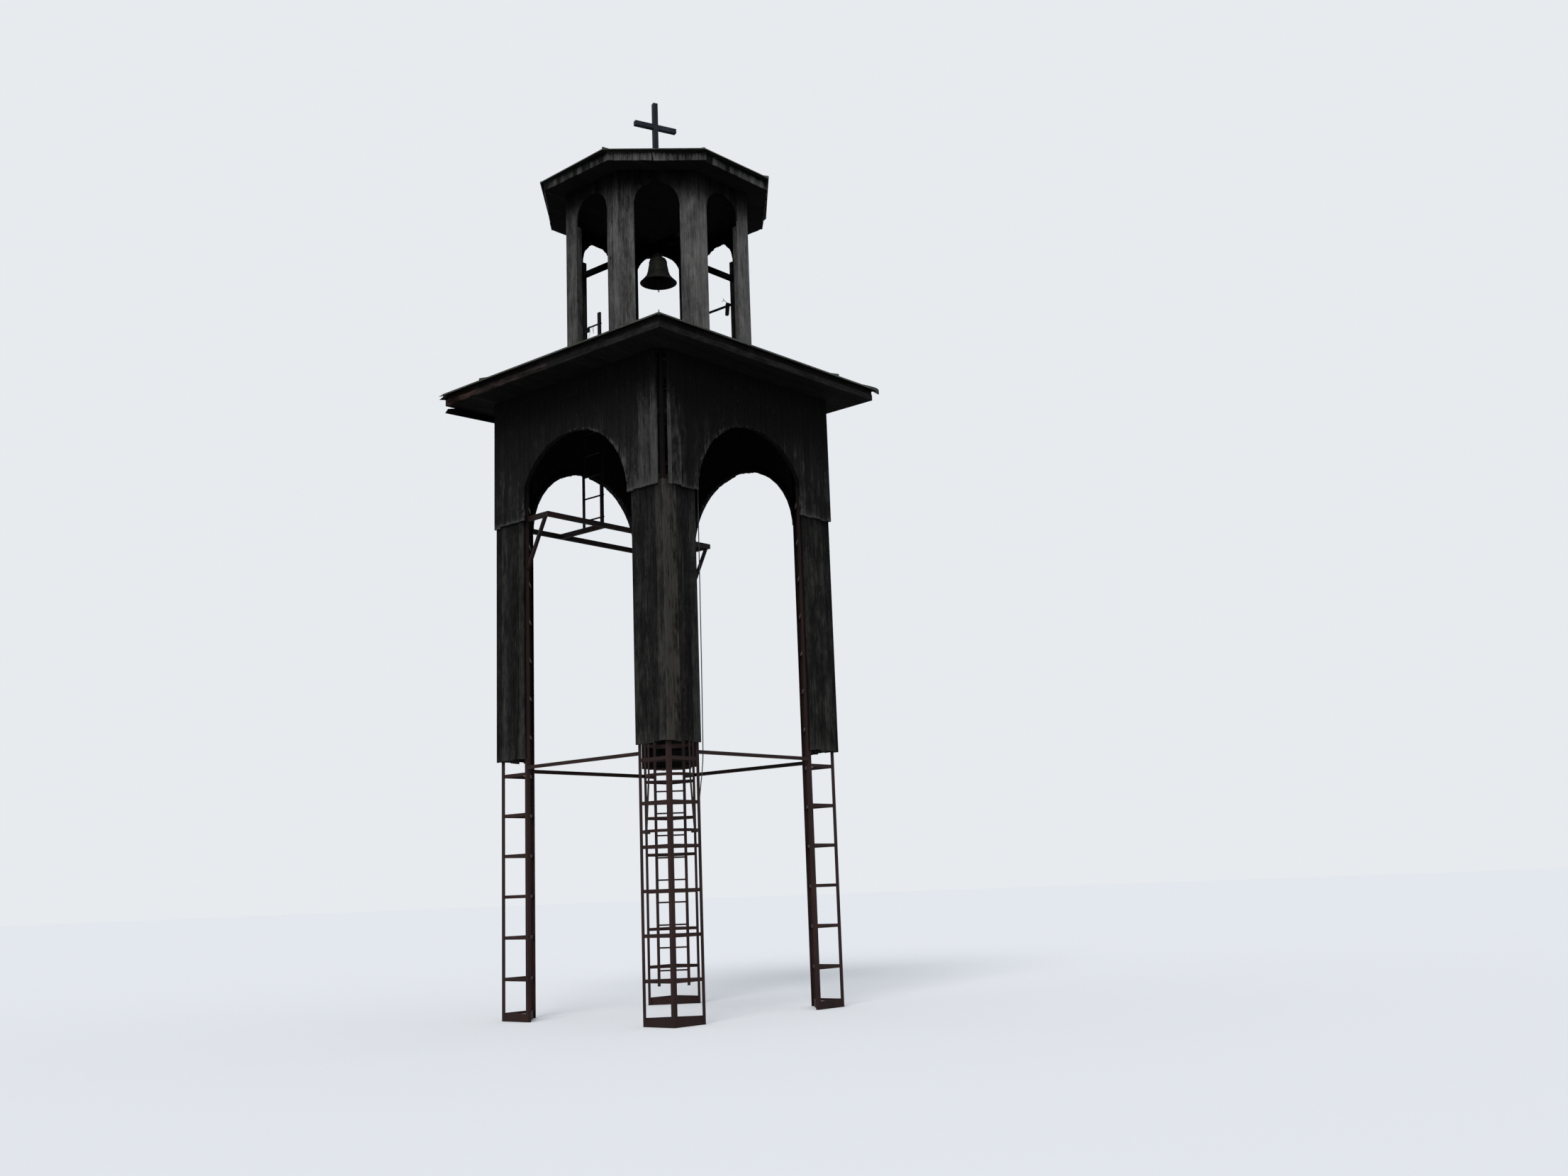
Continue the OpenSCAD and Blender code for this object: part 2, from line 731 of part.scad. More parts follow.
// The lower ladder faces the axis from the inner side of the rear leg.
module lower_ladder() {
    reach = (half + end_heel) / sqrt(2) - rung_t / 2 - lower_d;
    color(steel) rotate(-45) {
        translate([0, lower_d, 0]) {
            for (s = [-1, 1]) rail(s * lower_w / 2, rail_w, lower_z0, lower_z1);
            rungs(-lower_w / 2, lower_w / 2, lower_step_z, lower_z1);
        }
        for (s = [-1, 1], z = [rung_gap : 3 * rung_gap : lower_z1])
            translate([s * lower_w / 2 - 4, lower_d, z - rung_h / 2]) cube([8, reach, rung_h]);
    }
}

// A regular outline of many flats, each r away from the middle.
module hoop_outline(r) {
    turn = 360 / hoop_flats;
    polygon([for (i = [1 : hoop_flats])
        r / cos(turn / 2) * [cos(turn * (i + 0.5)), sin(turn * (i + 0.5))]]);
}

// One hoop of the cage, open towards the ladder rails.
module hoop(r, z) {
    translate([0, cage_d, z - hoop_h / 2])
        linear_extrude(hoop_h)
            difference() {
                hoop_outline(r);
                hoop_outline(r - hoop_t);
                translate([-2 * r, lower_d - cage_d - rail_t / 2]) square([4 * r, 2 * r]);
            }
}

module ladder_cage() {
    top = lower_z1 - hoop_h / 2;
    strip_r = hoop_r - hoop_t + 1;
    flare_l = sqrt(flare_h * flare_h + flare_r * flare_r) + hoop_h / 2;
    color(steel) rotate(-45) {
        for (z = [hoop_z : hoop_gap : top]) hoop(hoop_r, z);
        hoop(hoop_r + flare_r, hoop_z - flare_h);
        for (a = [-60, 0, 60])
            translate([0, cage_d, 0]) rotate(a) {
                translate([-hoop_h / 2, -strip_r, hoop_z]) cube([hoop_h, hoop_t, top - hoop_z]);
                translate([0, -strip_r, hoop_z])
                    rotate([180 - atan(flare_r / flare_h), 0, 0])
                        translate([-hoop_h / 2, -hoop_t, 0]) cube([hoop_h, hoop_t, flare_l]);
            }
    }
}

// The front and back beams of the landing under the hatch.
module landing_beams() {
    b = landing_b;
    color(steel) {
        translate([-landing_out, landing_y - b / 2, landing_z0]) cube([2 * landing_out, b, landing_h]);
        translate([-end_heel, landing_out - b, landing_z0]) cube([2 * end_heel, b, landing_h]);
    }
}

// The beam that carries the feet of the upper ladder.
module landing_cross_beam() {
    b = landing_b;
    color(steel)
        translate([-upper_x - b / 2, landing_y + b / 2, landing_z0])
            cube([b, landing_out - 1.5 * b - landing_y, landing_h]);
}

// The arms and knee braces that hold the ends of the front beam.
module landing_brackets() {
    y0 = landing_y + landing_b / 2;
    span = end_heel - y0;
    top = landing_z0 + landing_h;
    lean = atan(span / brace_drop);
    color(steel)
        for (m = [0, 1])
            mirror([m, 0, 0])
                translate([landing_out - landing_b, y0, 0]) {
                    translate([0, 0, landing_z0]) cube([landing_b, span, landing_h]);
                    intersection() {
                        translate([0, 0, top - brace_drop]) cube([landing_b, span, brace_drop]);
                        translate([0, 0, top])
                            rotate([lean, 0, 0])
                                translate([0, -brace_t / 2, -2 * brace_drop])
                                    cube([landing_b, brace_t, 3 * brace_drop]);
                    }
                }
}

// The upper ladder stands on the cross beam and leads through the hatch.
module upper_ladder() {
    foot = landing_z0 + landing_h;
    color(steel) translate([-upper_x, upper_y, 0]) rotate(90) {
        rail(0, front_rail_w, foot, upper_z1);
        rail(upper_w, back_rail_w, foot, upper_z1);
        rungs(0, upper_w, upper_step_z, upper_z1);
    }
}

// The route of the bell rope, from the floor frame past the front tie bar to the near leg.
ROPE = [
    [-870, -1475, frame_z], [-869, -1467, 6500], [-868, -1460, 5400], [-868, -1456, 4600],
    [-870, -1450, 3800], [-872, rope_y - 1, 3250], [-873, rope_y, 3120], [-876, rope_y, 3040],
    [-888, -1448, 2960], [-910, -1455, 2850], [-936, -1460, 2730], [-962, -1466, 2620],
    [-984, -1472, 2530], [-994, -1476, 2480], [-994, -1477, 2400]
];

// A tube of radius r swept along a list of points by rings that lie level.
module tube(path, r, sides) {
    n = len(path);
    points = [for (p = path, i = [0 : sides - 1])
        p + [r * cos(360 * i / sides), r * sin(360 * i / sides), 0]];
    skin = [for (k = [0 : n - 2], i = [0 : sides - 1])
        let (j = (i + 1) % sides) [k * sides + i, (k + 1) * sides + i, (k + 1) * sides + j, k * sides + j]];
    polyhedron(points, concat(
        skin, [[for (i = [0 : sides - 1]) i]], [[for (i = [sides - 1 : -1 : 0]) (n - 1) * sides + i]]));
}

module bell_rope() {
    color(rope_grey) tube(ROPE, rope_d / 2, 8);
}

leg(-1, -1);  // near_leg
leg(-1, 1);  // left_leg
leg(1, -1);  // right_leg
leg(1, 1);  // rear_leg
footings();
tie_bars();
leg_boards(-1, -1);  // near_leg_boards
leg_boards(-1, 1);  // left_leg_boards
leg_boards(1, -1);  // right_leg_boards
leg_boards(1, 1);  // rear_leg_boards
front_arch_wall();
right_arch_wall();
back_arch_wall();
left_arch_wall();
floor_frame();
eave_boards();
fascia(0);  // front_fascia
fascia(1);  // right_fascia
fascia(2);  // back_fascia
back_trim();  // back_fascia
fascia(3);  // left_fascia
roof(0);  // front_roof
roof(1);  // right_roof
roof(2);  // back_roof
roof(3);  // left_roof
belfry_wall(0);  // belfry_front_wall
belfry_wall(1);  // belfry_front_right_wall
belfry_wall(2);  // belfry_right_wall
belfry_wall(3);  // belfry_back_right_wall
belfry_wall(4);  // belfry_back_wall
belfry_wall(5);  // belfry_back_left_wall
belfry_wall(6);  // belfry_left_wall
belfry_wall(7);  // belfry_front_left_wall
belfry_eave();
belfry_roof();
cross();
bell_frame();
bell();
clapper();
belfry_rod();
lower_ladder();
ladder_cage();
landing_beams();
landing_cross_beam();
landing_brackets();
upper_ladder();
bell_rope();
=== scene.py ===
import math
import random
from functools import reduce

import bmesh
import bpy
from mathutils import Matrix, Vector


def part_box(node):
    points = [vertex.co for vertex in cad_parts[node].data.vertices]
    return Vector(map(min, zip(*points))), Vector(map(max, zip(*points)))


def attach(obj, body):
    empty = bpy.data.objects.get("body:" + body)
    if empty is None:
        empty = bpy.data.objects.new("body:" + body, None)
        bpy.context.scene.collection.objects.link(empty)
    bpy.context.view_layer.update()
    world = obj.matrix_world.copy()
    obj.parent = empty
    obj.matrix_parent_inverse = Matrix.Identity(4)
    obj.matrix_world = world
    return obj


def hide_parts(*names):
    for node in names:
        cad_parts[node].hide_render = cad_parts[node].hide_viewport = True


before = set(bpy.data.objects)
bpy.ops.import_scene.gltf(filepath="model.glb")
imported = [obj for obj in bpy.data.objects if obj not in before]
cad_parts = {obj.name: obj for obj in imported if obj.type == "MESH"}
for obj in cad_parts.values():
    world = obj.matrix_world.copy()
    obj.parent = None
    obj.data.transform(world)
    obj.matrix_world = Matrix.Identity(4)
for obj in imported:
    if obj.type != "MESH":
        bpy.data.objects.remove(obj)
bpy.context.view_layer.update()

# A free-standing bell tower. Lengths are in metres, in the frame of the CAD model:
# the origin is on the ground at the tower's axis, the front is -Y and the left is -X.

TOWER = "tower"
SIDES = ["front", "right", "back", "left"]
BELFRY_FACES = ["front", "front_right", "right", "back_right", "back", "back_left", "left", "front_left"]
LEGS = {"near": (0, 3), "right": (1, 0), "rear": (2, 1), "left": (3, 2)}  # the sides that each leg stands on


def low(node):
    """The lowest corner of a CAD node."""
    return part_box(node)[0]


def high(node):
    """The highest corner of a CAD node."""
    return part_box(node)[1]


# Sizes taken from the frame
HALF = high("floor_frame").x
SOFFIT_Z = low("eave_boards").z
FLOOR_Z = high("eave_boards").z
BOARD_T = FLOOR_Z - SOFFIT_Z
ARCH_FACE = high("right_arch_wall").x
LEG_FACE = -low("near_leg_boards").x
SKIRT_Z = low("front_arch_wall").z
CORNER_GAP = low("front_arch_wall").x + ARCH_FACE
CLADDING_Z = low("near_leg_boards").z
CLADDING_TOP = high("near_leg_boards").z
LEG_BOARD_END = -high("near_leg_boards").x
FASCIA_X = high("right_fascia").x
EAVE_X = high("right_roof").x
EAVE_Z = low("front_roof").z
BELFRY_A = high("belfry_right_wall").x
BELFRY_SOFFIT_Z = low("belfry_eave").z
BELFRY_EAVE_Z = high("belfry_eave").z
BELFRY_FASCIA_A = high("belfry_eave").x
BELL_TOP = high("bell").z

# Sizes of what only this script makes
ARCH_TOP = 7.222
ARCH_R = (1.02, 0.95, 0.95, 1.02)  # of the four sides, as is the shift
ARCH_SHIFT = (0.055, 0.0, 0.0, -0.055)
ARCH_HALF = 0.955
ARCH_WEAR_R = 0.985
OPEN_HALF = 0.295
COLUMN_D = 0.09
COLUMN_Z = 10.17
SILL_Z = 8.42
SPRING_Z = 10.235
BATTEN_H = 0.06
LEG_BATTENS = 4
BOARD_W = 0.105
EAVE_BOARD_W = 0.115
NAIL_R = 0.0045
PITCH = math.radians(20)
OCT = math.tan(math.radians(22.5))
SEAM_U = 1.25
HIP_T = 0.012
SHEET_SET_BACK = 0.014
BELFRY_ROOF_A = 1.525
BELFRY_ASKEW = 1.7
ROD_Z = 9.563
ROD_R = 0.017

# Camera, solved from the photograph
CAMERA_AT = (-14.030, -14.067, 1.443)
CAMERA_TURN = (40.59, 11.12, -2.13)  # yaw, pitch and roll in degrees
CAMERA_LENS, CAMERA_SENSOR = 35.42, 36.0


def new_object(name, data):
    thing = bpy.data.objects.new(name, data)
    bpy.context.collection.objects.link(thing)
    return thing


def make_camera():
    yaw, pitch, roll = (math.radians(a) for a in CAMERA_TURN)
    ahead = Vector((math.cos(yaw) * math.cos(pitch), math.sin(yaw) * math.cos(pitch), math.sin(pitch)))
    right = Vector((math.sin(yaw), -math.cos(yaw), 0.0))
    up = right.cross(ahead)
    right, up = (right * math.cos(roll) + up * math.sin(roll), up * math.cos(roll) - right * math.sin(roll))
    data = bpy.data.cameras.new("camera")
    data.lens = CAMERA_LENS
    data.sensor_width = CAMERA_SENSOR
    camera = new_object("camera", data)
    camera.matrix_world = Matrix.Translation(CAMERA_AT) @ Matrix((right, up, -ahead)).transposed().to_4x4()
    bpy.context.scene.camera = camera


# Shader helpers

class Shader:
    """The nodes of a material or a world. A value is a number, a colour or the socket that feeds it."""

    def __init__(self, owner):
        owner.use_nodes = True
        self.tree = owner.node_tree

    def feed(self, node, inputs):
        """Give values to the inputs of a node."""
        for key, value in inputs.items():
            socket = node.inputs[key]
            if isinstance(value, bpy.types.NodeSocket):
                self.tree.links.new(value, socket)
            else:
                socket.default_value = (*value, 1.0) if socket.type == "RGBA" else value

    def add(self, kind, inputs=None, **settings):
        node = self.tree.nodes.new(f"ShaderNode{kind}")
        for key, value in settings.items():
            setattr(node, key, value)
        self.feed(node, inputs or {})
        return node

    def calc(self, operation, a, b=0.0, clamp=False):
        return self.add("Math", {0: a, 1: b}, operation=operation, use_clamp=clamp).outputs[0]

    def plus(self, a, b):
        return self.calc("ADD", a, b)

    def minus(self, a, b):
        return self.calc("SUBTRACT", a, b)

    def times(self, a, b, clamp=False):
        return self.calc("MULTIPLY", a, b, clamp)

    def larger(self, a, b):
        return self.calc("MAXIMUM", a, b)

    def absolute(self, a):
        return self.calc("ABSOLUTE", a)

    def total(self, *terms):
        """The sum of values, each times its weight."""
        return reduce(self.plus, [self.times(value, weight) for value, weight in terms])

    def mix(self, factor, a, b, blend="MIX"):
        return self.add("Mix", {0: factor, 6: a, 7: b}, data_type="RGBA", blend_type=blend).outputs[2]

    def ramp(self, factor, *stops):
        """A colour ramp. Each stop is a position and a grey level or a colour."""
        node = self.add("ValToRGB", {0: factor})
        points = node.color_ramp.elements
        while len(points) < len(stops):
            points.new(1.0)
        for point, (place, colour) in zip(points, stops):
            point.position = place
            point.color = (*colour, 1.0) if isinstance(colour, tuple) else (colour, colour, colour, 1.0)
        return node.outputs[0]

    def attribute(self, name):
        return self.add("Attribute", attribute_name=name).outputs["Fac"]

    def part(self, axis, kind="Object"):
        """One coordinate of the point in metres, or of its normal."""
        return self.add("SeparateXYZ", {0: self.add("TexCoord").outputs[kind]}).outputs[axis]

    def stretched(self, scale, offset=None):
        """The point in metres, moved by offset and scaled by one number or by one for each axis."""
        point = self.add("TexCoord").outputs["Object"]
        if offset is not None:
            point = self.add("VectorMath", {0: point, 1: offset}, operation="ADD").outputs[0]
        scales = scale if isinstance(scale, tuple) else (scale, scale, scale)
        return self.add("VectorMath", {0: point, 1: scales}, operation="MULTIPLY").outputs[0]

    def noise(self, scale, detail, rough, distort=0.0, offset=None):
        return self.add("TexNoise", {"Vector": self.stretched(scale, offset), "Scale": 1.0, "Detail": detail,
                                     "Roughness": rough, "Distortion": distort}).outputs[0]

    def by_height(self, *stops):
        """A value that goes with the height. Each stop is a height and a value from -1 to 1."""
        bottom, top = stops[0][0], stops[-1][0]
        share = self.calc("DIVIDE", self.minus(self.part("Z"), bottom), top - bottom, clamp=True)
        level = self.ramp(share, *(((z - bottom) / (top - bottom), 0.5 + 0.5 * value) for z, value in stops))
        return self.minus(self.times(level, 2.0), 1.0)

    def arch_edge(self):
        """1 at the edge of the arches of the square walls, and 0 from 42 mm away from it."""
        across = self.calc("MINIMUM", self.absolute(self.part("X")), self.absolute(self.part("Y")))
        rise = self.larger(self.minus(self.part("Z"), ARCH_TOP - ARCH_WEAR_R), 0.0)
        reach = self.calc("SQRT", self.plus(self.times(across, across), self.times(rise, rise)))
        decimetres = self.times(self.minus(reach, ARCH_WEAR_R), 10.0, clamp=True)
        return self.ramp(decimetres, (0.0, 1.0), (0.16, 0.6), (0.42, 0.0))

    def dress(self, colour, roughness, relief=None, depth=0.0, strength=0.8, gloss=0.5, metal=0.0):
        """Feed the surface of the material. Its relief is depth metres high."""
        surface = self.tree.nodes["Principled BSDF"]
        self.feed(surface, {"Base Color": colour, "Roughness": roughness, "Specular IOR Level": gloss,
                            "Metallic": metal})
        if relief is not None:
            bump = self.add("Bump", {"Height": relief, "Distance": depth, "Strength": strength})
            self.feed(surface, {"Normal": bump.outputs[0]})


# Materials. Colours are linear, and the scale of a noise counts its waves in a metre.

MATERIALS = {}
NO_CHANGE = ((0.0, 0.0), (1.0, 0.0))
BLACK = (0.0006, 0.0006, 0.0006)


def new_shader(name):
    """The shader of a new material, which MATERIALS keeps under its name."""
    MATERIALS[name] = bpy.data.materials.new(name)
    return Shader(MATERIALS[name])


def weathered_wood(name, axis, colours, heights=NO_CHANGE, scratches=0.5, contrast=1.0,
                   tint=(1.15, 1.07, 0.88), arch_wear=0.0, painted_shade=None):
    """Old boards whose grain runs along an axis. The board's own tone, age and warmth come from its mesh.

    heights age or darken the boards by height, which also paints shade under eaves and skirts; the last
    argument blackens them by height as painted shade.
    """
    dark, middle, pale = colours
    shader = new_shader(name)
    tone, age, warm = (shader.attribute(key) for key in ("tone", "age", "warm"))
    board = shader.add("CombineXYZ", {i: shader.times(tone, 17.0 + 9.0 * i) for i in range(3)}).outputs[0]

    def along(fine, long):
        """Texture scale of the grain: fine across it, and long in its direction."""
        return tuple(long if i == axis else fine for i in "xyz")

    def grain(fine, long, detail=4.0, rough=0.6, distort=0.0, offset=board):
        return shader.noise(along(fine, long), detail, rough, distort, offset)

    fibre = grain(380.0, 9.0)
    streak = grain(85.0, 2.6, distort=0.2)
    broad = grain(19.0, 1.1, 3.0, distort=0.3)
    mottle = grain(30.0, 10.0, 5.0, 0.7)
    patch = grain(5.5, 3.0, rough=0.62, offset=None)
    blotch = grain(14.0, 4.0, offset=(5.1, 2.3, 0.7))
    crack = shader.ramp(grain(120.0, 1.6, 2.0, 0.5), (0.0, 0.0), (0.30, 0.0), (0.34, 1.0))
    scratch = shader.ramp(grain(150.0, 13.0, 3.0), (0.64, 0.0), (0.70, 1.0))
    cluster = shader.ramp(grain(7.0, 2.6, 3.0, offset=(3.7, 1.9, 5.3)), (0.46, 0.0), (0.60, 1.0))
    cells = shader.stretched(along(9.0, 4.6), board)
    spots = shader.add("TexVoronoi", {"Vector": cells, "Scale": 1.0}).outputs
    chance = shader.add("SeparateColor", {0: spots["Color"]}).outputs[0]
    knot = shader.times(shader.calc("GREATER_THAN", chance, 0.84),
                        shader.ramp(spots["Distance"], (0.07, 1.0), (0.14, 0.0)))

    tone_weight = 0.2
    weights = [contrast * weight for weight in (0.95, 0.65, 0.6, 0.8, 0.75)]
    wear = shader.total(*zip((streak, fibre, broad, mottle, patch), weights), (tone, tone_weight),
                        (age, 1.0), (shader.by_height(*heights), 1.0),
                        (shader.times(shader.minus(blotch, 0.5), warm), 2.2))
    wear = shader.minus(wear, 0.5 * (sum(weights) + tone_weight))
    if arch_wear:
        flecks = shader.ramp(mottle, (0.46, 0.0), (0.60, 1.0))
        wear = shader.total((wear, 1.0), (shader.times(shader.arch_edge(), flecks), arch_wear))

    colour = shader.ramp(wear, (0.08, dark), (0.50, middle), (1.0, pale))
    colour = shader.mix(shader.times(warm, patch), colour, tint, "MULTIPLY")
    marks = shader.times(shader.times(scratch, cluster),
                         shader.times(shader.plus(age, 0.2), scratches, clamp=True), clamp=True)
    colour = shader.mix(marks, colour, tuple(1.6 * c for c in pale))
    colour = shader.mix(shader.times(knot, 0.8), colour, tuple(0.35 * c for c in dark))
    colour = shader.mix(shader.times(shader.minus(1.0, crack), 0.75), colour, tuple(0.5 * c for c in dark))
    # Painted shade: the boards blacken by height under an eave.
    if painted_shade:
        colour = shader.mix(shader.by_height(*painted_shade), colour, BLACK)
    relief = shader.total((fibre, 0.35), (streak, 0.35), (mottle, 0.3), (crack, 0.6))
    shader.dress(colour, shader.ramp(fibre, (0.3, 0.78), (0.7, 0.96)), relief, 0.004, 0.9, gloss=0.02)


def primed_steel(name, gloss=0.14):
    """Red-brown primer on steel, faded, with dark dirt and rust coming through. It darkens with height, and
    from the skirt up it is painted nearly black as shade inside the tower.
    """
    shader = new_shader(name)
    broad = shader.noise((3.0, 3.0, 1.6), 5.0, 0.65)
    speck = shader.noise((55.0, 55.0, 30.0), 5.0, 0.7)
    runs = shader.noise((40.0, 40.0, 2.0), 4.0, 0.6)
    primer = shader.ramp(broad, (0.3, (0.027, 0.0135, 0.0125)), (0.7, (0.050, 0.0230, 0.0205)))
    primer = shader.mix(shader.times(runs, 0.6), primer, (0.015, 0.0095, 0.0090))
    rust = shader.ramp(shader.total((speck, 0.6), (broad, 0.4)), (0.56, 0.0), (0.63, 1.0))
    colour = shader.mix(shader.times(rust, 0.7), primer, (0.070, 0.029, 0.015))
    # Darker with height: dirt low down, and painted shade from the skirt up, where the steel stands in the
    # dark inside the tower.
    dirt_and_painted_shade = shader.by_height((0.0, 0.15), (0.8, 0.05), (2.6, 0.12), (4.0, 0.36), (5.4, 0.46), (6.36, 0.62),
                             (6.62, 0.93), (7.6, 0.97), (9.9, 1.0))
    colour = shader.mix(dirt_and_painted_shade, colour, (0.0036, 0.0030, 0.0034))

    # Under the belfry's roof the beams are painted black in the middle as shade, and their ends grey as
    # painted light.
    upper = shader.by_height((9.0, 0.0), (9.75, 0.0), (9.85, 1.0))
    aside = shader.larger(shader.absolute(shader.part("X")), shader.absolute(shader.part("Y")))
    shaded_middle = shader.times(upper, shader.ramp(aside, (0.72, 1.0), (0.95, 0.0)))
    colour = shader.mix(shaded_middle, colour, (0.0004, 0.0004, 0.0004))
    outer = shader.times(upper, shader.ramp(aside, (0.72, 0.0), (0.95, 1.0)))
    colour = shader.mix(shader.times(outer, 0.7), colour, (0.019, 0.0175, 0.0165))
    shader.dress(colour, shader.ramp(rust, (0.0, 0.62), (1.0, 0.94)),
                 shader.plus(shader.times(rust, 0.5), speck), 0.0012, gloss=gloss)


def roof_sheet(name):
    """Dull metal sheet with dirt, rust runs and patches of moss. Its faces that look down are painted nearly
    black as shade.
    """
    shader = new_shader(name)
    broad = shader.noise(1.6, 5.0, 0.6)
    fine = shader.noise(24.0, 6.0, 0.7)
    tiny = shader.noise(160.0, 3.0, 0.6)
    metal = shader.ramp(broad, (0.3, (0.040, 0.043, 0.038)), (0.7, (0.090, 0.096, 0.083)))
    rust = shader.ramp(shader.total((fine, 0.5), (broad, 0.5)), (0.54, 0.0), (0.62, 1.0))
    colour = shader.mix(shader.times(rust, 0.5), metal, (0.048, 0.030, 0.020))
    elsewhere = (3.0, 7.0, 1.0)
    grown = shader.total((shader.noise(1.3, 3.0, 0.6, offset=elsewhere), 0.55),
                         (shader.noise(13.0, 7.0, 0.75, offset=elsewhere), 0.45))
    moss = shader.ramp(grown, (0.50, 0.0), (0.56, 1.0))
    colour = shader.mix(shader.times(moss, 0.7), colour,
                        shader.ramp(tiny, (0.35, (0.026, 0.033, 0.015)), (0.65, (0.066, 0.080, 0.040))))
    colour = shader.mix(shader.times(shader.attribute("tone"), 0.35), colour, (0.020, 0.020, 0.019))
    # Painted shade: faces that look down are darkened nearly to black.
    painted_shade_below = shader.ramp(shader.plus(shader.part("Z", "Normal"), 1.0), (0.55, 0.9), (0.85, 0.0))
    colour = shader.mix(painted_shade_below, colour, (0.008, 0.0075, 0.007))
    relief = shader.plus(shader.times(moss, shader.plus(tiny, 0.5)), shader.times(fine, 0.3))
    shader.dress(colour, shader.ramp(moss, (0.0, 0.55), (1.0, 0.95)), relief, 0.005, gloss=0.25)


def bell_metal(name):
    """Cast bell metal under a dark green-brown patina. Its top is painted black as shade under the frame."""
    shader = new_shader(name)
    broad = shader.noise(9.0, 4.0, 0.6)
    runs = shader.noise((70.0, 70.0, 7.0), 4.0, 0.6)
    colour = shader.ramp(broad, (0.3, (0.0085, 0.0085, 0.0078)), (0.7, (0.021, 0.0205, 0.0175)))
    verdigris = shader.ramp(runs, (0.55, 0.0), (0.66, 1.0))
    colour = shader.mix(shader.times(verdigris, 0.5), colour, (0.022, 0.029, 0.024))
    # Painted shade: the top 10 cm blacken under the bell frame.
    shaded_top = shader.by_height((9.0, 0.0), (BELL_TOP - 0.10, 0.0), (BELL_TOP - 0.02, 0.95))
    shader.dress(shader.mix(shaded_top, colour, BLACK), shader.ramp(runs, (0.3, 0.55), (0.7, 0.8)),
                 shader.plus(broad, runs), 0.0012, 0.6, gloss=0.1, metal=0.35)


def dark_paint(name):
    """Dark paint with paler patches."""
    shader = new_shader(name)
    fine = shader.noise((60.0, 60.0, 20.0), 5.0, 0.65)
    broad = shader.noise((7.0, 7.0, 4.0), 3.0, 0.6)
    colour = shader.ramp(shader.total((fine, 0.5), (broad, 0.5)), (0.35, (0.0042, 0.0060, 0.0100)),
                         (0.52, (0.0088, 0.0125, 0.0205)), (0.68, (0.026, 0.032, 0.042)))
    shader.dress(colour, shader.ramp(fine, (0.3, 0.6), (0.7, 0.85)), fine, 0.001, 0.7, gloss=0.2)


def rough_concrete(name):
    shader = new_shader(name)
    broad = shader.noise(7.0, 5.0, 0.6)
    grit = shader.noise(160.0, 4.0, 0.7)
    colour = shader.ramp(shader.total((grit, 0.4), (broad, 0.6)), (0.35, (0.17, 0.155, 0.135)),
                         (0.52, (0.29, 0.275, 0.25)), (0.68, (0.40, 0.385, 0.36)))
    shader.dress(colour, 0.95, shader.plus(grit, broad), 0.004)


def grey_rope(name):
    """Twisted rope, grey with age, with painted shade from 6 m up, where it rises into the dark inside the
    tower.
    """
    shader = new_shader(name)
    twist = shader.add("TexWave", {"Vector": shader.stretched(60.0), "Scale": 1.0, "Distortion": 0.6},
                       bands_direction="DIAGONAL").outputs[1]
    fuzz = shader.noise((700.0, 700.0, 300.0), 3.0, 0.6)
    colour = shader.mix(fuzz, (0.045, 0.044, 0.042), (0.105, 0.102, 0.098))
    colour = shader.mix(shader.times(shader.minus(1.0, twist), 0.5), colour, (0.016, 0.016, 0.015))
    # Painted shade: darker from 6 m up.
    colour = shader.mix(shader.by_height((0.0, 0.0), (6.0, 0.0), (6.6, 0.9)), colour, (0.005, 0.005, 0.005))
    shader.dress(colour, 0.95, shader.plus(twist, fuzz), 0.002)


def rusty_nail(name):
    shader = new_shader(name)
    speck = shader.noise(900.0, 3.0, 0.6)
    colour = shader.ramp(speck, (0.35, (0.0035, 0.0025, 0.002)), (0.65, (0.012, 0.0065, 0.0045)))
    shader.dress(colour, 0.9, speck, 0.0006, gloss=0.1)


# The dark, middle and pale colour of the boards
LEG_BOARDS = ((0.0042, 0.0041, 0.0040), (0.0132, 0.0128, 0.0124), (0.048, 0.0465, 0.0445))
ARCH_BOARDS = ((0.0072, 0.0070, 0.0069), (0.0135, 0.0131, 0.0128), (0.064, 0.063, 0.062))
GREY_BOARDS = ((0.0060, 0.0059, 0.0058), (0.066, 0.0645, 0.0635), (0.165, 0.163, 0.160))
# The boards under the eaves and roofs are nearly black: a dark stain with painted shade in it.
BLACK_BOARDS = ((0.0078, 0.0076, 0.0075), (0.0118, 0.0115, 0.0112), (0.022, 0.0210, 0.0205))
FASCIA_BOARDS = ((0.0042, 0.0040, 0.0038), (0.0110, 0.0104, 0.0100), (0.034, 0.032, 0.030))

# The legs' boards are paler at their foot, and darker at their top as painted shadow of the skirt.
weathered_wood("leg_boards_z", "z", LEG_BOARDS, heights=(
    (CLADDING_Z, 0.20), (CLADDING_Z + 0.17, 0.04), (4.20, 0.0), (5.60, 0.0), (6.05, -0.05), (6.27, -0.25)))
# The arch walls' boards are pale at their lower ends, and from 6.9 m up they darken to near black at the
# soffit: painted shade of the eave, on their inner faces too.
weathered_wood("arch_boards_z", "z", ARCH_BOARDS, heights=(
    (SKIRT_Z - 0.01, 0.62), (SKIRT_Z + 0.01, 0.40), (SKIRT_Z + 0.04, 0.20), (SKIRT_Z + 0.09, 0.08),
    (6.90, 0.02), (7.15, -0.14), (7.42, -0.45), (7.60, -0.78), (SOFFIT_Z, -0.95)),
    scratches=0.9, arch_wear=0.55, tint=(1.03, 1.0, 0.96))
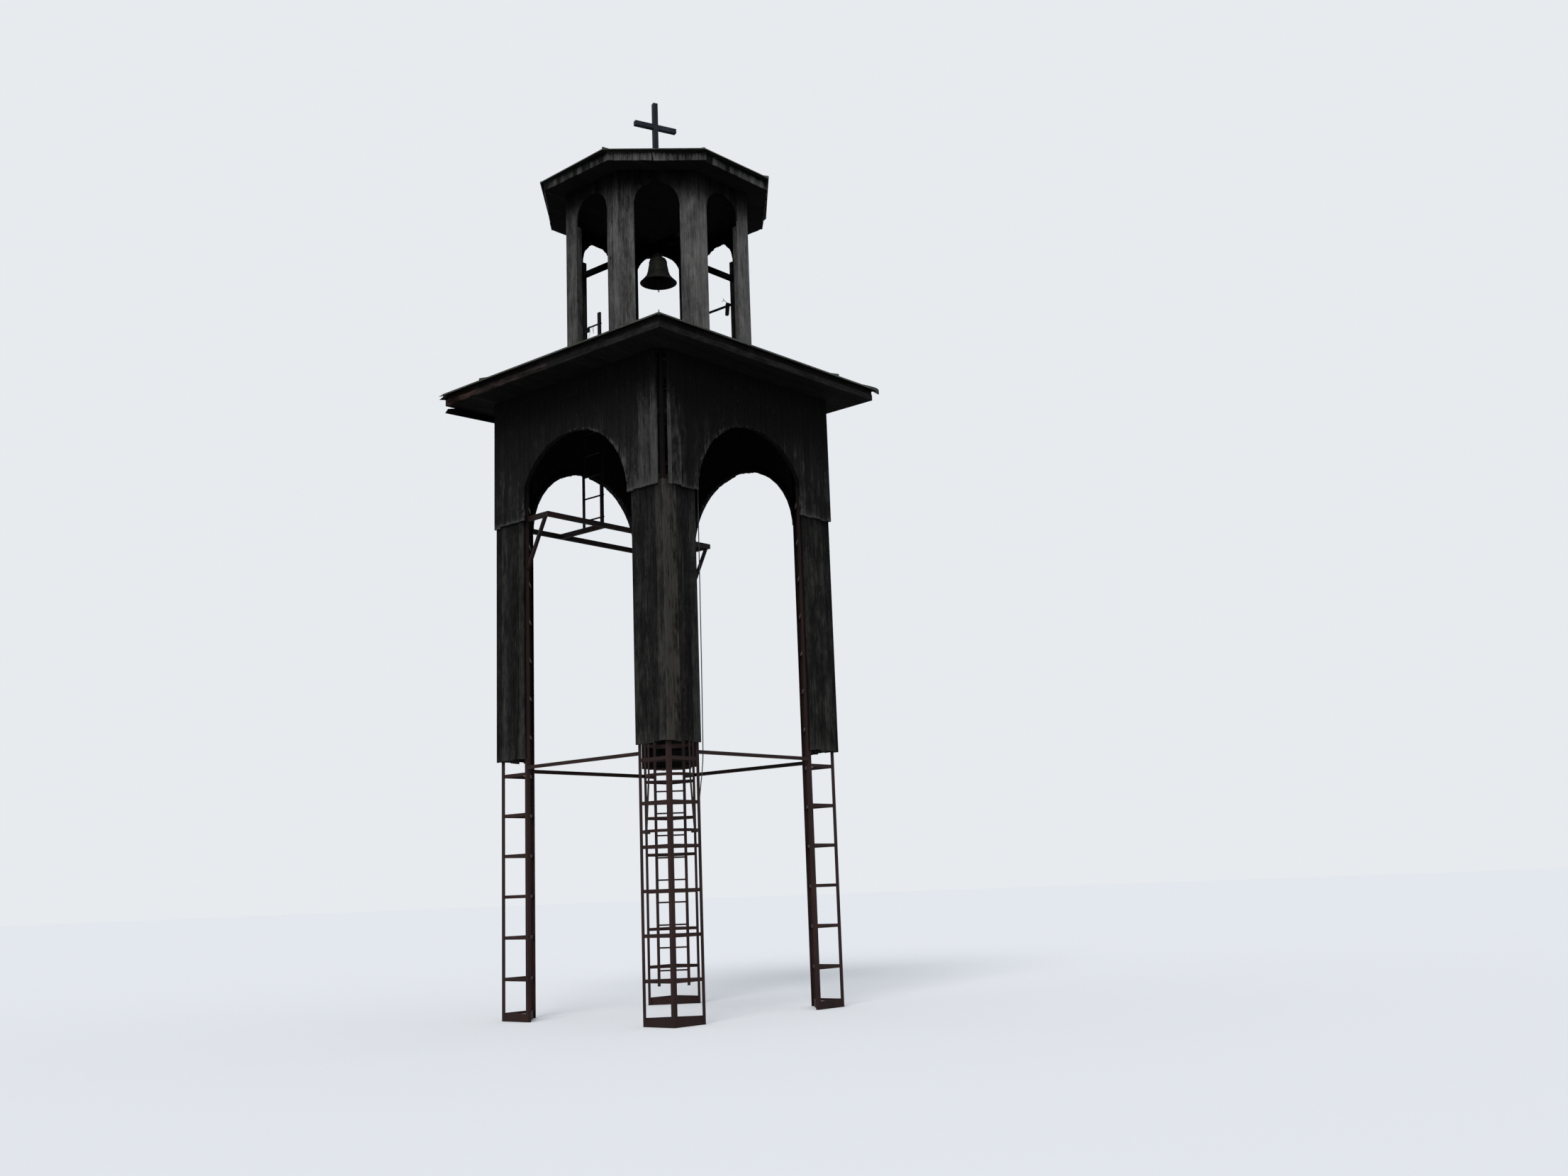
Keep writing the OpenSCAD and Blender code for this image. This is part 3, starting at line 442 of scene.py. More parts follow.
# The belfry's boards darken and then blacken towards its soffit: painted shade of the belfry's eave.
weathered_wood("grey_boards_z", "z", GREY_BOARDS, contrast=0.80, heights=(
    (8.10, 0.0), (8.55, 0.05), (9.80, 0.05), (10.10, 0.02), (BELFRY_SOFFIT_Z, -0.12)), painted_shade=(
    (9.90, 0.0), (10.00, 0.0), (10.15, 0.08), (10.25, 0.22), (10.35, 0.52), (10.45, 0.76), (10.55, 0.88),
    (BELFRY_SOFFIT_Z, 0.94)))
# The fascia pieces darken towards their top: painted shadow of the belfry roof's overhang.
weathered_wood("grey_pieces_z", "z", GREY_BOARDS, contrast=0.80, heights=(
    (BELFRY_SOFFIT_Z, 0.0), (10.75, -0.12), (10.79, -0.45), (10.81, -0.9)))
weathered_wood("black_boards_x", "x", BLACK_BOARDS)
for axis in "xy":
    weathered_wood(f"fascia_boards_{axis}", axis, FASCIA_BOARDS, tint=(1.45, 0.84, 0.76))
primed_steel("primed_steel")
# The bell frame's steel, without gloss; its black middle is painted shade, as in primed_steel.
primed_steel("matt_steel", gloss=0.0)
roof_sheet("roof_sheet")
bell_metal("bell_metal")
dark_paint("dark_paint")
rough_concrete("rough_concrete")
grey_rope("grey_rope")
rusty_nail("rusty_nail")


# Mesh helpers

def facing(angle):
    """The frame of a wall that faces outwards at an angle from the front: u to the right, v up, w out."""
    wall = Matrix(((1, 0, 0), (0, 0, -1), (0, 1, 0))).to_4x4()
    return Matrix.Rotation(math.radians(angle), 4, "Z") @ wall


def lying():
    """The frame of a ceiling that faces down: w points down."""
    return Matrix(((1, 0, 0), (0, -1, 0), (0, 0, -1))).to_4x4()


def oblong(u0, v0, u1, v1):
    """The outline between two corners, anticlockwise."""
    return [(u0, v0), (u1, v0), (u1, v1), (u0, v1)]


def inset(outline, by):
    """The outline moved inwards. It runs anticlockwise."""
    points = [Vector(p) for p in outline]
    moved = []
    for i, point in enumerate(points):
        before = (point - points[i - 1]).normalized()
        after = (points[(i + 1) % len(points)] - point).normalized()
        a, b = Vector((-before.y, before.x)), Vector((-after.y, after.x))
        moved.append(point + by * (a + b) / max(0.4, 1.0 + a.dot(b)))
    return moved


def clip(outline, normal, limit):
    """The part of an outline where normal . point is at most limit."""
    kept = []
    for i, point in enumerate(outline):
        last = outline[i - 1]
        a = last[0] * normal[0] + last[1] * normal[1] - limit
        b = point[0] * normal[0] + point[1] * normal[1] - limit
        if (a < 0) != (b < 0):
            t = a / (a - b)
            kept.append((last[0] + t * (point[0] - last[0]), last[1] + t * (point[1] - last[1])))
        if b < 0:
            kept.append(tuple(point))
    return kept


def octagon_clip(outline, apothem):
    """The part of an outline inside the octagon of that apothem."""
    for k in range(8):
        angle = math.radians(45 * k)
        outline = clip(outline, (math.cos(angle), math.sin(angle)), apothem)
    return outline


def ring_faces(start, n):
    """The faces between a ring of n points and the next one."""
    return [[start + i, start + (i + 1) % n, start + n + (i + 1) % n, start + n + i] for i in range(n)]


def circle(centre, r, side, up, n):
    """Points on a circle. Its first point lies towards side."""
    turns = [2 * math.pi * k / n for k in range(n)]
    return [centre + r * (side * math.cos(turn) + up * math.sin(turn)) for turn in turns]


class Boards:
    """Solids gathered in one mesh. Each has its own tone, age and warmth."""

    def __init__(self):
        self.points = []
        self.faces = []
        self.values = {"tone": [], "age": [], "warm": []}

    def solid(self, rings, tone=0.5, age=0.5, warm=0.0):
        """A closed solid through rings of as many points each."""
        start, n = len(self.points), len(rings[0])
        last = start + (len(rings) - 1) * n
        for ring in rings:
            self.points += [tuple(p) for p in ring]
        self.faces.append([start + i for i in reversed(range(n))])
        self.faces.append([last + i for i in range(n)])
        for base in range(start, last, n):
            self.faces += ring_faces(base, n)
        for key, value in (("tone", tone), ("age", age), ("warm", warm)):
            self.values[key] += [value] * (n * len(rings))

    def add(self, matrix, outline, inner, outer, tone, age=0.5, lean=(0.0, 0.0), edge=0.002, warm=0.0):
        """A board of that outline, from inner to outer along w, with its front edges broken by edge.

        It leans out by lean at its bottom and its top. Its back is less aged than its front.
        """
        if len(outline) < 3:
            return
        lowest = min(p[1] for p in outline)
        height = max(p[1] for p in outline) - lowest

        def place(p, w):
            share = (p[1] - lowest) / height
            return matrix @ Vector((p[0], p[1], w + lean[0] * (1 - share) + lean[1] * share))

        back_younger = 0.22
        rings = ((outline, inner), (outline, outer - edge), (inset(outline, edge), outer))
        self.solid([[place(p, w) for p in ring] for ring, w in rings], tone, age, warm)
        first = len(self.values["age"]) - 3 * len(outline)
        for i in range(first, first + len(outline)):
            self.values["age"][i] -= back_younger

    def box(self, matrix, low_corner, high_corner):
        """A box between two corners in the frame of the matrix."""
        (x0, y0, z0), (x1, y1, z1) = low_corner, high_corner
        self.solid([[matrix @ Vector((x, y, z)) for x, y in oblong(x0, y0, x1, y1)] for z in (z0, z1)])

    def tube(self, path, r, sides=8):
        """A round bar along a path."""
        path = [Vector(p) for p in path]
        rings = []
        for i, point in enumerate(path):
            ahead = (path[min(i + 1, len(path) - 1)] - path[max(i - 1, 0)]).normalized()
            side = side - ahead * side.dot(ahead) if rings else ahead.orthogonal()
            side.normalize()
            rings.append(circle(point, r, side, ahead.cross(side), sides))
        self.solid(rings)

    def make(self, name, material, replaces=()):
        """Make the solids one piece of the tower."""
        mesh = bpy.data.meshes.new(name)
        mesh.from_pydata(self.points, [], self.faces)
        for key, values in self.values.items():
            mesh.attributes.new(key, "FLOAT", "POINT").data.foreach_set("value", values)
        whole = bmesh.new()
        whole.from_mesh(mesh)
        bmesh.ops.recalc_face_normals(whole, faces=whole.faces)
        whole.to_mesh(mesh)
        whole.free()
        mesh.materials.append(MATERIALS[material])
        piece = new_object(name, mesh)
        if replaces:
            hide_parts(*replaces)
        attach(piece, TOWER)


NAILS = []  # the place of each nail head, and the direction that it faces


def board_edges(start, end, width, rng, uneven=0.16):
    """The joints between boards that are about as wide as width."""
    n = max(1, round((end - start) / width))
    shift = [0.0] + [rng.uniform(-uneven, uneven) for _ in range(n - 1)] + [0.0]
    return [start + (end - start) * (i + shift[i]) / n for i in range(n + 1)]


def board_row(boards, matrix, edges, lower, top, inner, outer, rng, age, ragged=0.0, steps=1, gap=0.002,
              loose=0.003, edge=0.0015, levels=(), warm=lambda u: 0.0, sag=lambda u: 0.0, spread=0.10):
    """Upright boards side by side, with nails at levels.

    lower gives the height of their lower ends at u, which are ragged, and sag lowers a board there.
    gap, loose and spread bound what is random in the joints, the lean and the age.
    """
    nail_margin = 0.03
    for a, b in zip(edges, edges[1:]):
        left, right = a + rng.uniform(0.3, 1.0) * gap, b - rng.uniform(0.3, 1.0) * gap
        middle, width = (left + right) / 2, right - left
        drop = rng.uniform(-ragged, ragged) - sag(middle)
        places = [left + width * i / steps for i in range(steps + 1)]
        bottom = [(u, lower(u) + drop + rng.uniform(-0.3, 0.3) * ragged) for u in places]
        lean = (rng.uniform(-0.2, 1.0) * loose, rng.uniform(-0.2, 0.4) * loose)
        tone, board_age = rng.random(), age(middle) + rng.uniform(-spread, spread)
        boards.add(matrix, bottom + [(right, top), (left, top)], inner, outer, tone, board_age, lean, edge,
                   warm(middle) + rng.uniform(0.0, 0.3))
        for level in levels:
            if max(lower(left), lower(right)) + nail_margin < level < top:
                for u in (left + 0.2 * width, left + 0.8 * width):
                    place = Vector((u + rng.uniform(-0.006, 0.006), level + rng.uniform(-0.012, 0.012),
                                    outer + max(lean)))
                    NAILS.append((matrix @ place, matrix.to_3x3() @ Vector((0, 0, 1))))


def nail_heads():
    """All the nail heads, as one piece."""
    points, faces = [], []
    for place, normal in NAILS:
        side = Vector((0, 0, 1)).cross(normal).normalized()
        start = len(points)
        for out, r in ((-0.004, NAIL_R), (0.001, NAIL_R), (0.0018, 0.5 * NAIL_R)):
            points += [tuple(p) for p in circle(place + normal * out, r, side, normal.cross(side), 6)]
        faces += [[start + 12 + k for k in range(6)], *ring_faces(start, 6), *ring_faces(start + 6, 6)]
    mesh = bpy.data.meshes.new("nail_heads")
    mesh.from_pydata(points, [], faces)
    mesh.materials.append(MATERIALS["rusty_nail"])
    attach(new_object("nail_heads", mesh), TOWER)


# The legs' boarding

def leg_boarding(name, sides, seed):
    """Boards on the two outer faces of a leg, with the battens that carry them."""
    rng = random.Random(seed)
    boards = Boards()
    spacing = (CLADDING_TOP - CLADDING_Z - 3 * BATTEN_H) / (LEG_BATTENS - 1)
    battens = [CLADDING_Z + BATTEN_H + k * spacing for k in range(LEG_BATTENS)]
    batten_end = LEG_BOARD_END + 0.02
    faces = ((-LEG_FACE, (-LEG_FACE, -LEG_BOARD_END), (-LEG_FACE + BOARD_T, -batten_end)),
             (LEG_FACE, (LEG_BOARD_END, LEG_FACE - BOARD_T), (batten_end, HALF)))
    for side, (corner, (start, end), (u0, u1)) in zip(sides, faces):
        matrix = facing(90 * side)
        edges = board_edges(start, end, 0.102, rng)
        # The near leg's corner is worn pale, and warm on the front.
        strip, paler = {("near", 0): (0.17, 0.33), ("near", 3): (0.11, 0.05)}.get((name, side), (0.0, 0.0))
        warmth = 0.8 if paler > 0.3 else 0.1
        board_row(boards, matrix, edges, lambda u: CLADDING_Z, CLADDING_TOP, LEG_FACE - BOARD_T, LEG_FACE,
                  rng, lambda u: 0.5 + (paler if abs(u - corner) < strip else 0.0), ragged=0.014,
                  levels=[z + BATTEN_H / 2 for z in battens],
                  warm=lambda u: warmth if abs(u - corner) < strip else 0.1)
        for z in battens:
            boards.add(matrix, oblong(u0, z, u1, z + BATTEN_H), HALF, LEG_FACE - BOARD_T, rng.random(), 0.3)
    boards.make(f"{name}_leg_boarding", "leg_boards_z", [f"{name}_leg_boards"])


# The arch walls

def arch_low(side, u):
    """Lower edge of an arch wall."""
    r, across = ARCH_R[side], u - ARCH_SHIFT[side]
    if abs(u) >= ARCH_HALF or abs(across) >= r:
        return SKIRT_Z
    return ARCH_TOP - r + math.sqrt(r ** 2 - across ** 2)


def arch_rib(boards, matrix, side, rng):
    """The rib behind the edge of an arch, in short curved pieces."""
    pieces, joint = 9, 0.006
    steepest = 0.996
    r, shift = ARCH_R[side], ARCH_SHIFT[side]
    inner, outer = r + 0.004, r + 0.055
    first = math.acos(min(steepest, (ARCH_HALF - shift) / r))
    turn = (math.acos(max(-steepest, (-ARCH_HALF - shift) / r)) - first) / pieces
    for k in range(pieces):
        a0, a1 = first + (k + joint) * turn, first + (k + 1 - joint) * turn
        middle = (a0 + a1) / 2
        corners = ((inner, a1), (inner, middle), (inner, a0), (outer, a0), (outer, middle), (outer, a1))
        arc = [(shift + d * math.cos(a), ARCH_TOP - r + d * math.sin(a)) for d, a in corners]
        boards.add(matrix, arc, HALF, LEG_FACE, rng.random(), 0.25)


def arch_boarding(side, seed):
    """Boards of an arch wall, with their battens and rib. The front wall leaves the near corner open."""
    rng = random.Random(seed)
    boards = Boards()
    name = SIDES[side]
    matrix = facing(90 * side)
    start = {"front": CORNER_GAP - ARCH_FACE + 0.03, "left": -ARCH_FACE + 0.012}.get(name, -LEG_FACE)
    end = {"left": ARCH_FACE - CORNER_GAP, "back": LEG_FACE}.get(name, ARCH_FACE)
    edges = (board_edges(start, -ARCH_HALF, BOARD_W, rng)
             + board_edges(-ARCH_HALF, ARCH_HALF, BOARD_W, rng)[1:-1]
             + board_edges(ARCH_HALF, end, BOARD_W, rng))
    if name == "front":
        edges[1] = start + 0.042

    def age(u):
        """The boards are more weathered towards the near corner, and most so in the narrow one there."""
        if name == "front":
            return 1.18 if u < edges[1] else 0.34 + 0.42 * max(0.0, 1.0 - (u - start) / 0.34)
        if name == "left":
            return 0.37 + 0.62 * max(0.0, 1.0 - (end - u) / 0.60)
        return 0.36

    low_batten, middle_batten, top_batten = CLADDING_TOP + 0.01, 7.11, SOFFIT_Z - BATTEN_H
    board_row(boards, matrix, edges, lambda u: arch_low(side, u), SOFFIT_Z, LEG_FACE, ARCH_FACE, rng, age,
              ragged=0.009, steps=5, spread=0.06,
              levels=[low_batten + BATTEN_H, middle_batten + BATTEN_H / 2, top_batten + BATTEN_H / 2],
              warm=lambda u: 0.7 if name == "front" and u < start + 0.30 else 0.0,
              sag=lambda u: 0.03 if name == "left" and u < -LEG_FACE + 0.1 else 0.0)
    left, right = max(start, -HALF), min(end, HALF)
    beside = [(left, ARCH_SHIFT[side] - ARCH_R[side]), (ARCH_SHIFT[side] + ARCH_R[side], right)]
    for z, spans in ((top_batten, [(left, right)]), (middle_batten, beside), (low_batten, beside)):
        for u0, u1 in spans:
            boards.add(matrix, oblong(u0, z, u1, z + BATTEN_H), HALF, LEG_FACE, rng.random(), 0.3)
    arch_rib(boards, matrix, side, rng)
    boards.make(f"{name}_arch_boarding", "arch_boards_z", [f"{name}_arch_wall"])


# The eave of the square roof

def eave_boarding(seed):
    """Boards of the eave and the belfry floor, cut round the hatch."""
    rng = random.Random(seed)
    boards = Boards()
    edge, joint = FASCIA_X - BOARD_T, 0.002
    hatch_x, hatch_y = (-0.575, -0.115), (0.625, 1.145)
    rows = board_edges(-edge, edge, EAVE_BOARD_W, rng, 0.05)
    for y0, y1 in zip(rows, rows[1:]):
        spans = [(-edge, edge)]
        if y1 > hatch_y[0] + 0.01 and y0 < hatch_y[1] - 0.01:
            spans = [(-edge, hatch_x[0]), (hatch_x[1], edge)]
        for x0, x1 in spans:
            boards.add(lying(), oblong(x0, -y1 + joint, x1, -y0 - joint), -FLOOR_Z, -SOFFIT_Z, rng.random(),
                       rng.uniform(0.3, 0.6))
    boards.make("eave_boarding", "black_boards_x", ["eave_boards"])


def roof_z(w):
    """The underside of the square roof at a distance from the tower's middle."""
    return EAVE_Z + (EAVE_X - w) * math.tan(PITCH)


def fascia(side, seed):
    """The two boards of the eave's edge, one over the other, in lengths, mitred at the corners.

    The far end of the left one is red-brown.
    """
    rng = random.Random(seed)
    boards = Boards()
    matrix = facing(90 * side)
    top = roof_z(FASCIA_X) - 0.002
    middle = SOFFIT_Z + 0.078
    inner, bevel, joint = FASCIA_X - BOARD_T, 0.002, 0.001
    # The upper board's lower age paints it darker: painted shadow of the roof's overhang.
    for z0, z1, age, out in ((SOFFIT_Z, middle, 0.62, 0.0), (middle + 0.001, top, 0.28, -0.005)):
        joints = [-FASCIA_X + 0.32, -FASCIA_X + 0.62, rng.uniform(-0.4, 0.4), rng.uniform(0.9, 1.2)]
        places = [-FASCIA_X] + joints + [FASCIA_X]
        for k, (u0, u1) in enumerate(zip(places, places[1:])):
            red = (1.9, 1.3, 0.6)[k] if SIDES[side] == "left" and k < 3 else 0.0
            rings = []
            for w, h in ((inner, 0.0), (FASCIA_X + out - bevel, 0.0), (FASCIA_X + out, bevel)):
                left = u0 + joint + (FASCIA_X - w if k == 0 else 0.0)
                right = u1 - joint - (FASCIA_X - w if u1 == FASCIA_X else 0.0)
                rings.append([matrix @ Vector((u, v, w)) for u, v in oblong(left, z0 + h, right, z1 - h)])
            boards.solid(rings, rng.random(), age + rng.uniform(-0.05, 0.05) - 0.08 * red, red)
    boards.make(f"{SIDES[side]}_fascia_boards", f"fascia_boards_{'xy'[side % 2]}", [f"{SIDES[side]}_fascia"])


def square_roof(side, seed):
    """One slope of the square roof: set-back sheathing, sheets with a lip, seams, and a fold on its hip."""
    rng = random.Random(seed)
    matrix = facing(90 * side)
    name = SIDES[side]
    under, sheets = Boards(), Boards()
    board_top, sheet_top = 0.0085, 0.026 / math.cos(PITCH)
    wood = EAVE_X - SHEET_SET_BACK
    a, b = BELFRY_A * OCT, BELFRY_A / math.sqrt(2)
    round_belfry = [(b, b), (a, BELFRY_A), (-a, BELFRY_A), (-b, b)]

    def at(u, w, h):
        return matrix @ Vector((u, roof_z(w) + h, w))

    def slab(solids, plan, low_h, high_h):
        solids.solid([[at(u, w, h) for u, w in plan] for h in (low_h, high_h)], rng.random(), 0.3)

    # The sheets stop short of the left corner, where they are torn.
    torn = 0.035
    left, right = (EAVE_X - (torn if name == short else 0.0) for short in ("left", "back"))
    wood_left, wood_right = left - SHEET_SET_BACK, right - SHEET_SET_BACK
    slab(under, [(-wood_left, wood), (wood_right, wood), (wood_right, wood_right)] + round_belfry
         + [(-wood_left, wood_left)], 0.0, board_top)
    slab(sheets, [(-SEAM_U, EAVE_X), (-left, EAVE_X), (-left, left), (-SEAM_U, SEAM_U)], board_top, sheet_top)
    slab(sheets, [(right, EAVE_X), (SEAM_U, EAVE_X), (SEAM_U, SEAM_U), (right, right)], board_top, sheet_top)
    slab(sheets, [(SEAM_U, EAVE_X), (-SEAM_U, EAVE_X), (-SEAM_U, SEAM_U)] + round_belfry[::-1]
         + [(SEAM_U, SEAM_U)], board_top, sheet_top + 0.0008)
    for s in (-1, 1):
        # The seams on both sides of the near corner are flat laps. The others stand up.
        flat = (name, s) in (("front", -1), ("left", 1))
        half, height = (0.022, 0.003) if flat else (0.006, 0.025)
        plan = oblong(s * SEAM_U - half, EAVE_X + 0.001, s * SEAM_U + half, SEAM_U)
        slab(sheets, plan, sheet_top - 0.004, sheet_top + height)

    # The fold runs down the hip between this side and the next one. At the right corner it ends in a hook.
    # Each station has its distance from the tower's middle, and the heights of the fold's foot and ridge.
    reach = EAVE_X - 0.19 if name == "back" else EAVE_X
    foot, ridge = -0.012, sheet_top + 0.025
    stations = [(w, foot, ridge) for w in (b + 0.012, reach - 0.05, reach)]
    if name == "front":
        stations[1:] = [(reach - 0.07, foot, ridge), (reach - 0.03, -0.020, ridge - 0.002),
                        (reach, -0.034, ridge - 0.007), (reach + 0.014, -0.040, ridge - 0.015),
                        (reach + 0.024, -0.038, ridge - 0.031)]
    aside = HIP_T / 2 / math.sqrt(2)
    rings = []
    for w, h0, h1 in stations:
        u0, w0, u1, w1 = w - aside, w + aside, w + aside, w - aside
        curl = max(0.0, w - reach) ** 2
        rings.append([at(u0, w0, h0 + curl), at(u1, w1, h0), at(u1, w1, h1), at(u0, w0, h1)])
    sheets.solid(rings, 2.3)

    if name == "back":
        # At the left corner the sheets' ends have come apart and hang as two thin leaves.
        for layer, c, top, thick, out, tip_z in ((sheets, 0.045, sheet_top, 0.006, 0.020, sheet_top - 0.020),
                                                 (under, 0.10, sheet_top - 0.022, 0.034, 0.013, -0.036)):
            root, near_eave, tip = EAVE_X - c, EAVE_X - 0.004, EAVE_X + out
            for u, w in ((near_eave, root), (root, near_eave)):
                rise = roof_z(EAVE_X) - roof_z(w)
                layer.solid([[at(root, root, h), at(u, w, h + rise), at(tip, tip, tip_h)]
                             for h, tip_h in ((top - thick, tip_z - 0.004), (top, tip_z))])
    under.make(f"{name}_sheathing", "black_boards_x")
    sheets.make(f"{name}_roof_sheets", "roof_sheet", [f"{name}_roof"])


# The belfry

def belfry_boarding(face, seed):
    """One side of the belfry: half a column at either end, the opening's head, and the knee wall.

    The half column has two boards in front, a reveal, a board behind, and pieces that close its ends.
    """
    rng = random.Random(seed)
    boards = Boards()
    matrix = facing(45 * face)
    wall_t = 0.022
    corner = BELFRY_A * OCT - 0.001
    inner_face, back = BELFRY_A - wall_t, BELFRY_A - COLUMN_D
    right_joint = 0.5 * (OPEN_HALF + corner) + rng.uniform(-0.015, 0.015)
    left_joint = 0.5 * (OPEN_HALF + corner) + rng.uniform(-0.015, 0.015)
    low_nails, high_nails = 8.50, 10.60
    paler = 0.16 if face == 0 else 0.0
    higher = 0.015 if face == 3 else 0.0
    width, uneven = 0.118, 0.12

    def row(edges, lower, top, age, **looks):
        board_row(boards, matrix, edges, lower, top, inner_face, BELFRY_A, rng, lambda u: age,
                  gap=0.0002, edge=0.0025, **looks)

    def head(u):
        """Lower edge of the boards over the opening."""
        if abs(u) >= OPEN_HALF - 1e-6:
            return SPRING_Z
        return SPRING_Z + math.sqrt((OPEN_HALF + higher) ** 2 - u ** 2)

    for edges in ([-corner, -left_joint, -OPEN_HALF], [OPEN_HALF, right_joint, corner]):
        row(edges, lambda u: FLOOR_Z, BELFRY_SOFFIT_Z, 0.5 + paler, loose=0.002,
            levels=[low_nails, high_nails], spread=0.05)
    row(board_edges(-OPEN_HALF, OPEN_HALF, width, rng, uneven), head, BELFRY_SOFFIT_Z, 0.4,
        ragged=0.022 if face in (2, 4, 5) else 0.006, steps=5, loose=0.001, levels=[high_nails])
    row(board_edges(-OPEN_HALF, OPEN_HALF, width, rng, uneven), lambda u: FLOOR_Z, SILL_Z, 0.42 + paler,
        loose=0.001)
    for s in (-1, 1):
        u0, u1 = sorted((s * OPEN_HALF, s * (OPEN_HALF + wall_t)))
        boards.add(matrix, oblong(u0, SILL_Z, u1, COLUMN_Z), back, inner_face - 0.001, rng.random(), 0.45)
        u0, u1 = sorted((s * (OPEN_HALF + wall_t + 0.002), s * back * OCT))
        boards.add(matrix, oblong(u0, SILL_Z, u1, COLUMN_Z), back, back + wall_t, rng.random(), 0.35)
        for z in (SILL_Z, COLUMN_Z - wall_t):
            boards.add(matrix, oblong(u0, z, u1, z + wall_t), back + wall_t, inner_face - 0.001, rng.random(),
                       0.35)
    boards.add(matrix, oblong(-OPEN_HALF, SILL_Z, OPEN_HALF, SILL_Z + 0.02), back, BELFRY_A - 0.001,
               rng.random(), 0.6)
    name = f"belfry_{BELFRY_FACES[face]}"
    boards.make(f"{name}_boarding", "grey_boards_z", [f"{name}_wall"])


def belfry_eave(seed):
    """Ceiling boards, the backing of the fascia and its short upright pieces, some slipped or gone."""
    rng = random.Random(seed)
    ceiling = Boards()
    inner, backing_t, joint = BELFRY_FASCIA_A - 0.018, 0.013, 0.002
    rows = board_edges(-inner, inner, EAVE_BOARD_W, rng, 0.05)
    for y0, y1 in zip(rows, rows[1:]):
        outline = octagon_clip(oblong(-inner, y0 + joint, inner, y1 - joint), inner - backing_t - 0.001)
        ceiling.add(lying(), outline, -BELFRY_SOFFIT_Z - 0.022, -BELFRY_SOFFIT_Z, rng.random(), 0.4)
    for face in range(8):
        ceiling.add(facing(45 * face), oblong(-inner * OCT, BELFRY_SOFFIT_Z, inner * OCT, BELFRY_EAVE_Z),
                    inner - backing_t, inner, rng.random(), 0.3)
    ceiling.make("belfry_ceiling", "black_boards_x", ["belfry_eave"])

    pieces = Boards()
    missing = ((0, 0), (0, 1), (0, 5), (3, 5), (5, 9))
    slanted = ((7, 7), (7, 8), (7, 9), (7, 10))
    reach = BELFRY_FASCIA_A * OCT
    top = BELFRY_EAVE_Z - 0.012
    for face in range(8):
        edges = board_edges(-reach, reach, 0.084, rng, 0.1)
        last = len(edges) - 2
        for k, (a, b) in enumerate(zip(edges, edges[1:])):
            if (face, k) in missing:
                continue
            slant = rng.uniform(-0.004, 0.004)
            if (face, k) in slanted:
                slant = 0.020
            worn = 0.014 if face in (1, 5) else 0.003
            foot = BELFRY_SOFFIT_Z + rng.uniform(-worn, 0.002) - (0.004 if slant == 0.020 else 0.0)
            a, b = a + joint, b - joint
            left = slant if k else max(slant, 0.0)
            right = slant if k < last else min(slant, 0.0)
            if (face, k) == (7, last):
                # Beside the front's missing pieces, this one reaches past the corner.
                right, b = 0.0, b + 0.036
            pieces.add(facing(45 * face), [(a + left, foot), (b + right, foot), (b, top), (a, top)], inner,
                       BELFRY_FASCIA_A + rng.uniform(-0.003, 0.001), rng.random(),
                       rng.uniform(0.34, 0.66) - (0.22 if face == 6 else 0.0), edge=0.003)
    pieces.make("belfry_fascia_pieces", "grey_pieces_z")


